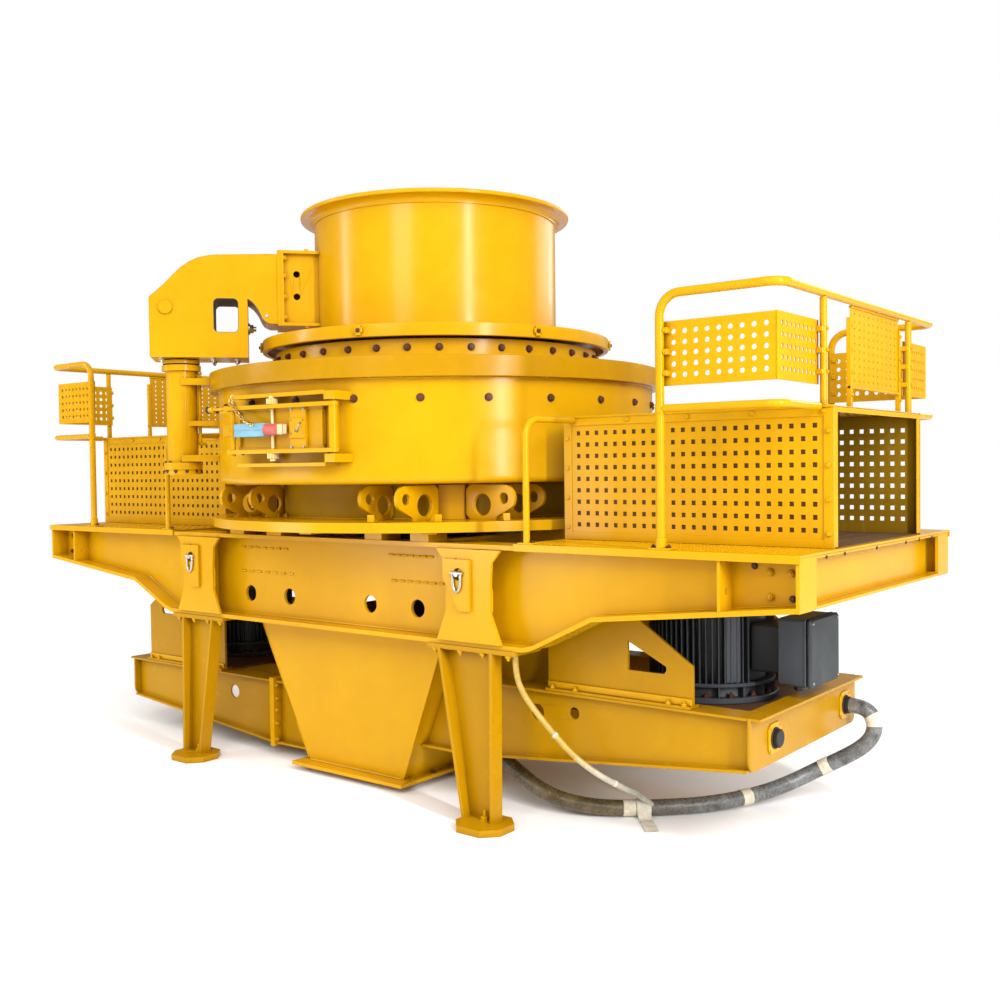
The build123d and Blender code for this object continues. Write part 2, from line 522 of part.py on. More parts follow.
hose_pts = [(2152, 365, 455), (2205, 365, 455), (2250, 364, 425), (2266, 362, 370), (2246, 358, 312), (2196, 354, 262), (2115, 350, 208),
            (2020, 340, 152), (1932, 260, 98), (1858, 140, 64), (1765, -15, 46), (1664, -160, 40), (1565, -258, 38), (1465, -348, 38),
            (1362, -434, 41), (1275, -492, 50), (1172, -528, 66), (1072, -524, 84), (970, -500, 108), (866, -470, 142), (768, -450, 187),
            (672, -443, 248), tuple(g3 + n3 * 92), (GX, GY, GZ)]
thin_pts = [(1516, -322, 50), (1498, -372, 92), (1496, -430, 130), (1496, -500, 160), (1494, -572, 196), (1460, -648, 244), (1383, -692, 304),
            (1322, -720, 366), (1262, -746, 440), (1202, -775, 520), (1160, -806, 600), (1148, -832, 682), (1148, -832, 761)]


def radii_of(pts):
    r = []
    for i in range(1, len(pts) - 1):
        a = Vector(*pts[i]) - Vector(*pts[i - 1])
        b = Vector(*pts[i + 1]) - Vector(*pts[i])
        turn = a.get_angle(b)
        r.append(0.45 * min(a.length, b.length) / tan(radians(turn) / 2))
    return r


for nm, pts, rr in (("hose_bundle", hose_pts, HOSE_R), ("control_hose", thin_pts, THIN_R)):
    hr = radii_of(pts)
    path = FilletPolyline(*pts, radius=hr)
    hs = sweep(Plane(origin=path @ 0, z_dir=path % 0) * Circle(rr), path=path)
    add(nm, hs)
    print(nm, "length", round(path.length, 1), "volume ratio", round(hs.volume / (3.14159265 * rr ** 2 * path.length), 4))
    print(nm, "radii", [round(x) for x in hr])

# ------------------------------------------------------------------ write
for name, s in parts.items():
    export_step(s, "parts/%s.step" % name)
print(len(parts), "nodes")
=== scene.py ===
import bpy, bmesh, math, random
from math import sin, cos, pi, radians, atan2, sqrt, hypot, asin, tan
from mathutils import Vector, Matrix


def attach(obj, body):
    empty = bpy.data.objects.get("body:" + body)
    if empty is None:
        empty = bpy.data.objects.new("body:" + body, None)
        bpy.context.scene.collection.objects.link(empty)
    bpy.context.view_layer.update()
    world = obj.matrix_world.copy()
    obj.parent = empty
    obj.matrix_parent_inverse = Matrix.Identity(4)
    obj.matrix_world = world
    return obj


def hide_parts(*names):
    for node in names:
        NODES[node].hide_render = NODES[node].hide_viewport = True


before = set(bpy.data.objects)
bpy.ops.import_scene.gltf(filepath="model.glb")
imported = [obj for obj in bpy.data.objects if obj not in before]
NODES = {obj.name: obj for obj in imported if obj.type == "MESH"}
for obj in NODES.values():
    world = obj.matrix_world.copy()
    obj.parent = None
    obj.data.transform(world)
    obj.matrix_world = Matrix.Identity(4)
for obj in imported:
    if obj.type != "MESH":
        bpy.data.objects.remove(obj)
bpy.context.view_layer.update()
random.seed(7)

# ---------------------------------------------------------------- camera
cam_data = bpy.data.cameras.new("camera")
cam = bpy.data.objects.new("camera", cam_data)
bpy.context.scene.collection.objects.link(cam)
R_ = Vector((0.7872016, 0.6165737, -0.0122674))
U_ = Vector((-0.0083991, 0.0306094, 0.9994961))
D_ = Vector((-0.6166385, 0.7867019, -0.0292744))
cam.matrix_world = Matrix(((R_.x, U_.x, -D_.x, 3.98375), (R_.y, U_.y, -D_.y, -4.54222), (R_.z, U_.z, -D_.z, 1.55511), (0, 0, 0, 1)))
cam_data.sensor_width = 36.0
cam_data.sensor_fit = 'HORIZONTAL'
cam_data.lens = 39.699
cam_data.clip_end = 200
bpy.context.scene.camera = cam


# ---------------------------------------------------------------- materials
def new_mat(name):
    m = bpy.data.materials.new(name)
    m.use_nodes = True
    nt = m.node_tree
    b = nt.nodes["Principled BSDF"]
    return m, nt, b


def node(nt, kind, **kw):
    n = nt.nodes.new(kind)
    for k, v in kw.items():
        if k.startswith("i_"):
            n.inputs[k[2:].replace("_", " ")].default_value = v
        else:
            setattr(n, k, v)
    return n


def ramp(nt, fac, stops):
    r = nt.nodes.new("ShaderNodeValToRGB")
    els = r.color_ramp.elements
    while len(els) < len(stops):
        els.new(0.5)
    for e, (p, c) in zip(els, stops):
        e.position = p
        e.color = (*c, 1) if len(c) == 3 else c
    nt.links.new(fac, r.inputs["Fac"])
    return r


def noise(nt, vec, scale, detail=3.0, rough=0.55, dist=0.0):
    n = nt.nodes.new("ShaderNodeTexNoise")
    n.inputs["Scale"].default_value = scale
    n.inputs["Detail"].default_value = detail
    n.inputs["Roughness"].default_value = rough
    n.inputs["Distortion"].default_value = dist
    nt.links.new(vec, n.inputs["Vector"])
    return n.outputs["Fac"]


def objcoord(nt, scale=(1, 1, 1)):
    tc = nt.nodes.new("ShaderNodeTexCoord")
    mp = nt.nodes.new("ShaderNodeMapping")
    mp.inputs["Scale"].default_value = scale
    nt.links.new(tc.outputs["Object"], mp.inputs["Vector"])
    return mp.outputs["Vector"]


def mixc(nt, fac, a, b, mode='MIX'):
    m = nt.nodes.new("ShaderNodeMix")
    m.data_type = 'RGBA'
    m.blend_type = mode
    if isinstance(fac, (int, float)):
        m.inputs[0].default_value = fac
    else:
        nt.links.new(fac, m.inputs[0])
    for s, v in ((m.inputs[6], a), (m.inputs[7], b)):
        if isinstance(v, tuple):
            s.default_value = (*v, 1) if len(v) == 3 else v
        else:
            nt.links.new(v, s)
    return m.outputs[2]


def bump(nt, b, heights, strength=0.1, distance=0.002):
    prev = None
    for h, st, ds in heights:
        bp = nt.nodes.new("ShaderNodeBump")
        bp.inputs["Strength"].default_value = st
        bp.inputs["Distance"].default_value = ds
        nt.links.new(h, bp.inputs["Height"])
        if prev is not None:
            nt.links.new(prev, bp.inputs["Normal"])
        prev = bp.outputs["Normal"]
    nt.links.new(prev, b.inputs["Normal"])


def metal(name, col, r0, r1):
    m, nt, b = new_mat(name)
    v = objcoord(nt)
    n1 = noise(nt, v, 30.0, 4.0, 0.6)
    n2 = noise(nt, v, 240.0, 3.0, 0.6)
    c = ramp(nt, n1, [(0.3, tuple(x * 0.75 for x in col)), (0.7, col)])
    nt.links.new(c.outputs["Color"], b.inputs["Base Color"])
    b.inputs["Metallic"].default_value = 1.0
    rr = ramp(nt, n1, [(0.3, (r0,) * 3), (0.75, (r1,) * 3)])
    nt.links.new(rr.outputs["Color"], b.inputs["Roughness"])
    bump(nt, b, [(n2, 0.12, 0.0005)])
    return m


def paint(name, c_main, c_deep, c_light, rough=(0.30, 0.42), dust=0.06, coat=0.12, orange_peel=0.05, dustcol=(0.42, 0.30, 0.12), spec=0.35):
    m, nt, b = new_mat(name)
    v = objcoord(nt)
    big = noise(nt, v, 1.3, 2.0, 0.5)
    mid = noise(nt, v, 9.0, 4.0, 0.6)
    fine = noise(nt, v, 120.0, 4.0, 0.65)
    streakv = objcoord(nt, (11, 11, 0.9))
    streak = noise(nt, streakv, 2.4, 5.0, 0.62, 0.4)
    r1 = ramp(nt, big, [(0.25, c_deep), (0.5, c_main), (0.8, c_light)])
    r2 = ramp(nt, mid, [(0.30, (0.42, 0.42, 0.42)), (0.75, (0.58, 0.58, 0.58))])
    col = mixc(nt, 0.25, r1.outputs["Color"], r2.outputs["Color"], 'OVERLAY')
    dm = ramp(nt, streak, [(0.56, (0, 0, 0)), (0.80, (1, 1, 1))])
    dm2 = nt.nodes.new("ShaderNodeMath"); dm2.operation = 'MULTIPLY'; dm2.inputs[1].default_value = dust
    nt.links.new(dm.outputs["Color"], dm2.inputs[0])
    col = mixc(nt, dm2.outputs[0], col, dustcol)
    sp = ramp(nt, fine, [(0.72, (0, 0, 0)), (0.80, (1, 1, 1))])
    sp2 = nt.nodes.new("ShaderNodeMath"); sp2.operation = 'MULTIPLY'; sp2.inputs[1].default_value = 0.08
    nt.links.new(sp.outputs["Color"], sp2.inputs[0])
    col = mixc(nt, sp2.outputs[0], col, c_deep)
    # painted shade: ambient occlusion darkens and browns the base colour in the inner corners
    ao = nt.nodes.new("ShaderNodeAmbientOcclusion")
    ao.samples = 6
    ao.inputs["Distance"].default_value = 0.06
    ao_corner_shade = ramp(nt, ao.outputs["AO"], [(0.25, (0.62, 0.55, 0.48)), (0.75, (1, 1, 1))])
    col = mixc(nt, 1.0, col, ao_corner_shade.outputs["Color"], 'MULTIPLY')
    nt.links.new(col, b.inputs["Base Color"])
    rr = ramp(nt, mid, [(0.25, (rough[0],) * 3), (0.75, (rough[1],) * 3)])
    nt.links.new(rr.outputs["Color"], b.inputs["Roughness"])
    b.inputs["Coat Weight"].default_value = coat
    b.inputs["Coat Roughness"].default_value = 0.18
    b.inputs["Specular IOR Level"].default_value = spec
    peel = noise(nt, v, 380.0, 2.0, 0.5)
    wave = noise(nt, v, 4.0, 2.0, 0.5)
    bump(nt, b, [(wave, 0.08, 0.006), (peel, orange_peel, 0.0006)])
    return m


YEL = paint("yellow_enamel", (0.56, 0.290, 0.0012), (0.53, 0.268, 0.0012), (0.59, 0.312, 0.0016), rough=(0.17, 0.27), coat=0.03, spec=0.15, dust=0.04)
# painted shade: a darker copy of the yellow enamel, standing in for the shade on the frame parts listed further down
YEL_SHADE_LOW = paint("yellow_enamel_lower_painted_shade", (0.40, 0.200, 0.0012), (0.36, 0.178, 0.0012), (0.44, 0.224, 0.0016), rough=(0.20, 0.30), coat=0.02, spec=0.12, dust=0.05)
YEL_IN = paint("yellow_enamel_inner", (0.62, 0.30, 0.008), (0.50, 0.23, 0.006), (0.68, 0.34, 0.012), rough=(0.42, 0.6), coat=0.0, dust=0.25)
DARK = paint("motor_enamel", (0.050, 0.060, 0.074), (0.038, 0.045, 0.055), (0.068, 0.080, 0.098), rough=(0.38, 0.55), dust=0.18, coat=0.05,
             orange_peel=0.12, dustcol=(0.16, 0.15, 0.13))
CASTD = paint("dark_casting", (0.030, 0.024, 0.016), (0.018, 0.014, 0.010), (0.048, 0.036, 0.022), rough=(0.6, 0.8), dust=0.3, coat=0.0,
              orange_peel=0.3, dustcol=(0.16, 0.10, 0.04))
BOLT = paint("bolt_dark_oiled", (0.085, 0.026, 0.012), (0.05, 0.015, 0.008), (0.12, 0.045, 0.020), rough=(0.40, 0.6), dust=0.12, coat=0.0,
             orange_peel=0.2, dustcol=(0.30, 0.16, 0.05))
# painted shade: a dark copy of the yellow enamel for the faces inside the platform boxes
SHADED = paint("yellow_enamel_inside_painted_shade", (0.24, 0.135, 0.004), (0.17, 0.09, 0.004), (0.30, 0.17, 0.006), rough=(0.45, 0.65), coat=0.0, spec=0.1, dust=0.2)
# painted shade: a darker, duller yellow for the lower housing, which sits in shade between the ears
HOUSING_SHADE = paint("yellow_enamel_housing_painted_shade", (0.36, 0.205, 0.002), (0.30, 0.168, 0.002), (0.42, 0.240, 0.003), rough=(0.35, 0.5), coat=0.0, spec=0.06, dust=0.04)
# dark brown: the paint of the platform floors, and painted shade on the motor base plates and on the sheets behind the
# platform sides
BROWN = paint("brown_floor_and_painted_shade", (0.11, 0.055, 0.020), (0.07, 0.035, 0.012), (0.16, 0.085, 0.03), rough=(0.6, 0.8), dust=0.3, coat=0.0, orange_peel=0.2,
              dustcol=(0.25, 0.15, 0.06))
# painted shade: a near-black brown for the sheet that lines the walls of the arm slot
SLOT_SHADE = paint("slot_wall_painted_shade", (0.060, 0.050, 0.034), (0.040, 0.032, 0.020), (0.085, 0.072, 0.05), rough=(0.5, 0.7), dust=0.2, coat=0.0, orange_peel=0.1,
               dustcol=(0.16, 0.12, 0.06))
TBOX = paint("terminal_box_grey", (0.024, 0.030, 0.033), (0.018, 0.023, 0.025), (0.031, 0.039, 0.042), rough=(0.40, 0.55), dust=0.12, coat=0.0,
             orange_peel=0.12, dustcol=(0.16, 0.15, 0.13))
BRASS = metal("brass_plated_chain", (0.80, 0.55, 0.16), 0.25, 0.4)
BLACK = paint("black_rubber", (0.018, 0.018, 0.019), (0.012, 0.012, 0.013), (0.030, 0.030, 0.031), rough=(0.5, 0.65), dust=0.1, coat=0.0,
              orange_peel=0.2, dustcol=(0.10, 0.09, 0.08))


ZINC = metal("zinc_plated", (0.62, 0.60, 0.52), 0.28, 0.48)
STEEL = metal("bare_steel", (0.42, 0.41, 0.39), 0.30, 0.50)


def plastic(name, col, rough):
    m, nt, b = new_mat(name)
    v = objcoord(nt)
    n1 = noise(nt, v, 18.0, 3.0, 0.5)
    n2 = noise(nt, v, 420.0, 2.0, 0.5)
    c = ramp(nt, n1, [(0.3, tuple(x * 0.82 for x in col)), (0.7, col)])
    nt.links.new(c.outputs["Color"], b.inputs["Base Color"])
    rr = ramp(nt, n1, [(0.3, (rough,) * 3), (0.75, (rough + 0.15,) * 3)])
    nt.links.new(rr.outputs["Color"], b.inputs["Roughness"])
    bump(nt, b, [(n2, 0.15, 0.0004)])
    return m


BLUE = plastic("switch_blue", (0.16, 0.38, 0.52), 0.35)
RED = plastic("switch_red", (0.55, 0.10, 0.08), 0.35)
PALE = plastic("switch_pale", (0.72, 0.60, 0.30), 0.45)


def wrap(name, c1, c2, scale=60, bumpd=0.004, rough=(0.3, 0.6), split=None):
    m, nt, b = new_mat(name)
    v = objcoord(nt)
    n1 = noise(nt, v, 14.0, 5.0, 0.65, 0.6)
    n2 = noise(nt, v, scale, 4.0, 0.6, 0.8)
    c = ramp(nt, n1, [(0.32, c1), (0.68, c2)])
    c2_ = ramp(nt, n2, [(0.35, (0.2, 0.2, 0.2)), (0.7, (1, 1, 1))])
    base = c.outputs["Color"]
    if split:
        axis, lo, hi, d1, d2 = split                     # a second colour beyond lo..hi along an axis
        tc = nt.nodes.new("ShaderNodeTexCoord")
        sx = nt.nodes.new("ShaderNodeSeparateXYZ")
        nt.links.new(tc.outputs["Object"], sx.inputs[0])
        mr = nt.nodes.new("ShaderNodeMapRange")
        mr.inputs["From Min"].default_value = lo
        mr.inputs["From Max"].default_value = hi
        nt.links.new(sx.outputs[axis], mr.inputs["Value"])
        d = ramp(nt, n1, [(0.32, d1), (0.68, d2)])
        base = mixc(nt, mr.outputs[0], base, d.outputs["Color"])
    col = mixc(nt, 0.35, base, c2_.outputs["Color"], 'MULTIPLY')
    nt.links.new(col, b.inputs["Base Color"])
    rr = ramp(nt, n2, [(0.3, (rough[0],) * 3), (0.75, (rough[1],) * 3)])
    nt.links.new(rr.outputs["Color"], b.inputs["Roughness"])
    bump(nt, b, [(n1, 0.5, bumpd), (n2, 0.5, bumpd * 0.35)])
    return m


FILM = wrap("hose_film", (0.15, 0.105, 0.040), (0.050, 0.038, 0.018), 85, 0.009, (0.14, 0.42), split=(0, 1.35, 1.75, (0.070, 0.072, 0.070), (0.24, 0.245, 0.24)))
SLEEVE = wrap("hose_sleeve_dark", (0.060, 0.045, 0.022), (0.17, 0.12, 0.05), 50, 0.006, (0.5, 0.8))
TAPE = wrap("masking_tape", (0.62, 0.55, 0.40), (0.80, 0.75, 0.62), 90, 0.002, (0.6, 0.8))
CLOTH = wrap("tie_cloth", (0.66, 0.60, 0.48), (0.82, 0.78, 0.66), 160, 0.002, (0.8, 0.95))
THIN = wrap("thin_hose_yellow", (0.36, 0.33, 0.25), (0.55, 0.52, 0.44), 60, 0.002, (0.3, 0.6), split=(2, 0.24, 0.34, (0.46, 0.29, 0.045), (0.58, 0.38, 0.08)))
THINW = wrap("thin_hose_white", (0.50, 0.46, 0.36), (0.74, 0.72, 0.64), 60, 0.002, (0.4, 0.6))

m, nt, b = new_mat("floor_pale")
v = objcoord(nt)
nt.links.new(ramp(nt, noise(nt, v, 0.8, 3.0), [(0.3, (0.91, 0.91, 0.915)), (0.7, (0.93, 0.93, 0.935))]).outputs["Color"], b.inputs["Base Color"])
b.inputs["Roughness"].default_value = 0.95
b.inputs["Specular IOR Level"].default_value = 0.0
FLOOR = m


# ---------------------------------------------------------------- mesh building
class Geo:
    """Collects vertices, faces and a material index per face for one joined mesh."""

    def __init__(self):
        self.v, self.f, self.m = [], [], []
        self.T = Matrix.Identity(4)
        self.mi = 0

    def add(self, verts, faces):
        o = len(self.v)
        T = self.T
        self.v += [tuple(T @ Vector(p)) for p in verts]
        flip = T.to_3x3().determinant() < 0
        for f in faces:
            g = tuple(o + i for i in f)
            self.f.append(g[::-1] if flip else g)
            self.m.append(self.mi)

    def at(self, T):
        g = _At(self, T)
        return g

    # chamfered box between two corners
    def box(self, x0, x1, y0, y1, z0, z1, c=0.002):
        x0, x1 = sorted((x0, x1)); y0, y1 = sorted((y0, y1)); z0, z1 = sorted((z0, z1))
        c = min(c, (x1 - x0) * 0.3, (y1 - y0) * 0.3, (z1 - z0) * 0.3)
        if c <= 0:
            vs = [(x, y, z) for x in (x0, x1) for y in (y0, y1) for z in (z0, z1)]
            self.add(vs, [(0, 1, 3, 2), (4, 6, 7, 5), (0, 4, 5, 1), (2, 3, 7, 6), (0, 2, 6, 4), (1, 5, 7, 3)])
            return
        vs, idx = [], {}
        for ix, x in enumerate((x0, x1)):
            for iy, y in enumerate((y0, y1)):
                for iz, z in enumerate((z0, z1)):
                    sx, sy, sz = (1 if ix == 0 else -1), (1 if iy == 0 else -1), (1 if iz == 0 else -1)
                    for k in range(3):
                        p = [x + sx * c, y + sy * c, z + sz * c]
                        p[k] = (x, y, z)[k]
                        idx[(ix, iy, iz, k)] = len(vs)
                        vs.append(tuple(p))
        fs = []
        I = idx
        fs.append((I[0, 0, 0, 0], I[0, 0, 1, 0], I[0, 1, 1, 0], I[0, 1, 0, 0]))
        fs.append((I[1, 0, 0, 0], I[1, 1, 0, 0], I[1, 1, 1, 0], I[1, 0, 1, 0]))
        fs.append((I[0, 0, 0, 1], I[1, 0, 0, 1], I[1, 0, 1, 1], I[0, 0, 1, 1]))
        fs.append((I[0, 1, 0, 1], I[0, 1, 1, 1], I[1, 1, 1, 1], I[1, 1, 0, 1]))
        fs.append((I[0, 0, 0, 2], I[0, 1, 0, 2], I[1, 1, 0, 2], I[1, 0, 0, 2]))
        fs.append((I[0, 0, 1, 2], I[1, 0, 1, 2], I[1, 1, 1, 2], I[0, 1, 1, 2]))
        # edges
        for a in (0, 1):
            for b_ in (0, 1):
                q = (I[0, a, b_, 1], I[0, a, b_, 2], I[1, a, b_, 2], I[1, a, b_, 1])
                fs.append(q if (a + b_) % 2 == 0 else q[::-1])
                q = (I[a, 0, b_, 0], I[a, 1, b_, 0], I[a, 1, b_, 2], I[a, 0, b_, 2])
                fs.append(q if (a + b_) % 2 == 0 else q[::-1])
                q = (I[a, b_, 0, 0], I[a, b_, 0, 1], I[a, b_, 1, 1], I[a, b_, 1, 0])
                fs.append(q if (a + b_) % 2 == 0 else q[::-1])
        for ix in (0, 1):
            for iy in (0, 1):
                for iz in (0, 1):
                    t = (I[ix, iy, iz, 0], I[ix, iy, iz, 1], I[ix, iy, iz, 2])
                    fs.append(t[::-1] if (ix + iy + iz) % 2 == 0 else t)
        self.add(vs, fs)

    # polygon (2D list) extruded between w0 and w1; axes is a function (a, b, w) -> (x, y, z)
    def prism(self, poly, w0, w1, axes, c=0.0):
        n = len(poly)
        area = sum(poly[i][0] * poly[(i + 1) % n][1] - poly[(i + 1) % n][0] * poly[i][1] for i in range(n))
        pts = list(poly) if area > 0 else list(poly)[::-1]
        if w1 < w0:
            w0, w1 = w1, w0
        rings = []
        if c > 0:
            ins = inset(pts, c)
            rings = [(ins, w0), (pts, w0 + c), (pts, w1 - c), (ins, w1)]
        else:
            rings = [(pts, w0), (pts, w1)]
        vs = []
        for pl, w in rings:
            vs += [axes(a, b_, w) for a, b_ in pl]
        fs = []
        for k in range(len(rings) - 1):
            for i in range(n):
                j = (i + 1) % n
                fs.append((k * n + i, k * n + j, (k + 1) * n + j, (k + 1) * n + i))
        top = tuple((len(rings) - 1) * n + i for i in range(n))
        fs.append(top)
        fs.append(tuple(range(n))[::-1])
        # axes may be left-handed: test with a small frame
        o, a1, b1, w_ = Vector(axes(0, 0, 0)), Vector(axes(1, 0, 0)), Vector(axes(0, 1, 0)), Vector(axes(0, 0, 1))
        if (a1 - o).cross(b1 - o).dot(w_ - o) < 0:
            fs = [f[::-1] for f in fs]
        self.add(vs, fs)

    # surface of revolution about Z of a closed or open profile [(r, z)...]
    def revolve(self, prof, n=96, closed=True, a0=0.0, a1=2 * pi, cx=0.0, cy=0.0):
        full = abs(a1 - a0 - 2 * pi) < 1e-6
        cols = n if full else n + 1
        k = len(prof)
        vs = []
        for i in range(cols):
            a = a0 + (a1 - a0) * i / n
            ca, sa = cos(a), sin(a)
            vs += [(cx + r * ca, cy + r * sa, z) for r, z in prof]
        fs = []
        kk = k if closed else k - 1
        for i in range(n):
            j = (i + 1) % cols
            for q in range(kk):
                q2 = (q + 1) % k
                fs.append((i * k + q, j * k + q, j * k + q2, i * k + q2))
        if not full and closed:
            fs.append(tuple(range(k))[::-1])
            fs.append(tuple((cols - 1) * k + q for q in range(k)))
        # orientation: profile given so that outside is to the right when walking; fix by area sign
        if closed:
            ar = sum(prof[i][0] * prof[(i + 1) % k][1] - prof[(i + 1) % k][0] * prof[i][1] for i in range(k))
            if ar < 0:
                fs = [f[::-1] for f in fs]
        self.add(vs, fs)

    # cylinder between two points with chamfered ends
    def cyl(self, p0, p1, r, n=24, c=0.0015, r1=None):
        p0, p1 = Vector(p0), Vector(p1)
        d = (p1 - p0)
        L = d.length
        if L < 1e-7:
            return
        d /= L
        t = Vector((0, 0, 1)) if abs(d.z) < 0.9 else Vector((1, 0, 0))
        a = d.cross(t).normalized()
        b_ = d.cross(a)
        r1 = r if r1 is None else r1
        c = min(c, L * 0.3, r * 0.4)
        st = [(0, r - c), (c, r), (L - c, r1), (L, r1 - c)] if c > 0 else [(0, r), (L, r1)]
        vs = []
        for s, rr in st:
            vs += [tuple(p0 + d * s + (a * cos(2 * pi * i / n) + b_ * sin(2 * pi * i / n)) * rr) for i in range(n)]
        fs = []
        for k in range(len(st) - 1):
            for i in range(n):
                j = (i + 1) % n
                fs.append((k * n + i, k * n + j, (k + 1) * n + j, (k + 1) * n + i))
        fs.append(tuple(range(n))[::-1])
        fs.append(tuple((len(st) - 1) * n + i for i in range(n)))
        if a.cross(b_).dot(d) < 0:
            fs = [f[::-1] for f in fs]
        self.add(vs, fs)

    # hexagon head with washer; base point p, outward direction d
    def hexbolt(self, p, d, s=0.012, h=0.008, washer=True, stud=0.0, turn=0.0):
        p, d = Vector(p), Vector(d).normalized()
        if washer:
            self.cyl(p - d * 0.0006, p + d * s * 0.18, s * 1.22, 16, s * 0.05)
        self.cyl_n(p + d * s * 0.15, p + d * h, s * 1.08, 6, s * 0.14, turn)
        if stud > 0:
            self.cyl(p + d * (h - 0.001), p + d * (h + stud), s * 0.52, 10, s * 0.1)

    def cyl_n(self, p0, p1, r, n, c, turn=0.0):
        p0, p1 = Vector(p0), Vector(p1)
        d = (p1 - p0); L = d.length; d /= L
        t = Vector((0, 0, 1)) if abs(d.z) < 0.9 else Vector((1, 0, 0))
        a = d.cross(t).normalized(); b_ = d.cross(a)
        st = [(0, r), (L - c, r), (L, r - c)]
        vs = []
        for s, rr in st:
            vs += [tuple(p0 + d * s + (a * cos(2 * pi * i / n + turn) + b_ * sin(2 * pi * i / n + turn)) * rr) for i in range(n)]
        fs = []
        for k in range(len(st) - 1):
            for i in range(n):
                j = (i + 1) % n
                fs.append((k * n + i, k * n + j, (k + 1) * n + j, (k + 1) * n + i))
        fs.append(tuple(range(n))[::-1])
        fs.append(tuple((len(st) - 1) * n + i for i in range(n)))
        if a.cross(b_).dot(d) < 0:
            fs = [f[::-1] for f in fs]
        self.add(vs, fs)

    # tube along points, with end caps; radius may be a function of the index fraction
    def tube(self, pts, r, n=16, caps=True, up=None):
        P = [Vector(q) for q in pts]
        k = len(P)
        tang = []
        for i in range(k):
            a = P[min(i + 1, k - 1)] - P[max(i - 1, 0)]
            tang.append(a.normalized())
        ref = Vector((0, 0, 1)) if abs(tang[0].z) < 0.9 else Vector((1, 0, 0))
        nx = tang[0].cross(ref).normalized()
        vs = []
        for i in range(k):
            if i:
                ax = tang[i - 1].cross(tang[i])
                if ax.length > 1e-8:
                    nx = Matrix.Rotation(tang[i - 1].angle(tang[i]), 3, ax.normalized()) @ nx
            nx = (nx - tang[i] * nx.dot(tang[i])).normalized()
            ny = tang[i].cross(nx)
            rr = r(i / (k - 1)) if callable(r) else r
            vs += [tuple(P[i] + (nx * cos(2 * pi * j / n) + ny * sin(2 * pi * j / n)) * rr) for j in range(n)]
        fs = []
        for i in range(k - 1):
            for j in range(n):
                j2 = (j + 1) % n
                fs.append((i * n + j, i * n + j2, (i + 1) * n + j2, (i + 1) * n + j))
        if caps:
            fs.append(tuple(range(n))[::-1])
            fs.append(tuple((k - 1) * n + j for j in range(n)))
        self.add(vs, fs)

    # small weld bead along points
    def bead(self, pts, r=0.004, n=6, step=0.012, seed=1):
        P = [Vector(q) for q in pts]
        rnd = random.Random(seed)
        out = []
        for a, b_ in zip(P[:-1], P[1:]):
            L = (b_ - a).length
            m_ = max(1, int(L / step))
            for i in range(m_):
                out.append(a.lerp(b_, i / m_))
        out.append(P[-1])
        k = len(out)
        rad = [r * (0.85 + 0.3 * rnd.random()) for _ in range(k)]
        self.tube(out, lambda t: rad[min(k - 1, int(round(t * (k - 1))))], n)


class _At:
    def __init__(self, g, T):
        self.g, self.T = g, T

    def __enter__(self):
        self.old = self.g.T
        self.g.T = self.old @ self.T
        return self.g

    def __exit__(self, *a):
        self.g.T = self.old


def inset(pts, c):
    n = len(pts)
    out = []
    for i in range(n):
        p0, p1, p2 = Vector(pts[i - 1]), Vector(pts[i]), Vector(pts[(i + 1) % n])
        e1, e2 = (p1 - p0), (p2 - p1)
        n1 = Vector((-e1.y, e1.x)); n2 = Vector((-e2.y, e2.x))
        if n1.length < 1e-9 or n2.length < 1e-9:
            out.append((p1.x, p1.y)); continue
        n1.normalize(); n2.normalize()
        bs = n1 + n2
        if bs.length < 1e-6:
            out.append((p1.x, p1.y)); continue
        bs.normalize()
        q = p1 + bs * (c / max(0.35, bs.dot(n1)))
        out.append((q.x, q.y))
    return out


def arc(cx, cy, r, a0, a1, n=8):
    return [(cx + r * cos(a0 + (a1 - a0) * i / n), cy + r * sin(a0 + (a1 - a0) * i / n)) for i in range(n + 1)]


def rounded(pts, rad, n=6):
    """Polygon with its corners rounded; rad is one number or one per corner."""
    out = []
    k = len(pts)
    for i in range(k):
        r = rad[i] if isinstance(rad, (list, tuple)) else rad
        p0, p1, p2 = Vector(pts[i - 1]), Vector(pts[i]), Vector(pts[(i + 1) % k])
        if r <= 0:
            out.append((p1.x, p1.y)); continue
        a, b_ = (p0 - p1), (p2 - p1)
        ang = a.angle(b_)
        t = min(r / tan(ang / 2), a.length * 0.48, b_.length * 0.48)
        r = t * tan(ang / 2)
        a.normalize(); b_.normalize()
        bis = (a + b_).normalized()
        cc = p1 + bis * (r / sin(ang / 2))
        s = p1 + a * t; e = p1 + b_ * t
        a0 = atan2(s.y - cc.y, s.x - cc.x); a1 = atan2(e.y - cc.y, e.x - cc.x)
        while a1 - a0 > pi: a1 -= 2 * pi
        while a1 - a0 < -pi: a1 += 2 * pi
        for j in range(n + 1):
            t_ = a0 + (a1 - a0) * j / n
            out.append((cc.x + r * cos(t_), cc.y + r * sin(t_)))
    return out


AX_XZ = lambda a, b_, w: (a, w, b_)      # polygon in X-Z, extruded along Y
AX_YZ = lambda a, b_, w: (w, a, b_)      # polygon in Y-Z, extruded along X
AX_XY = lambda a, b_, w: (a, b_, w)      # polygon in X-Y, extruded along Z


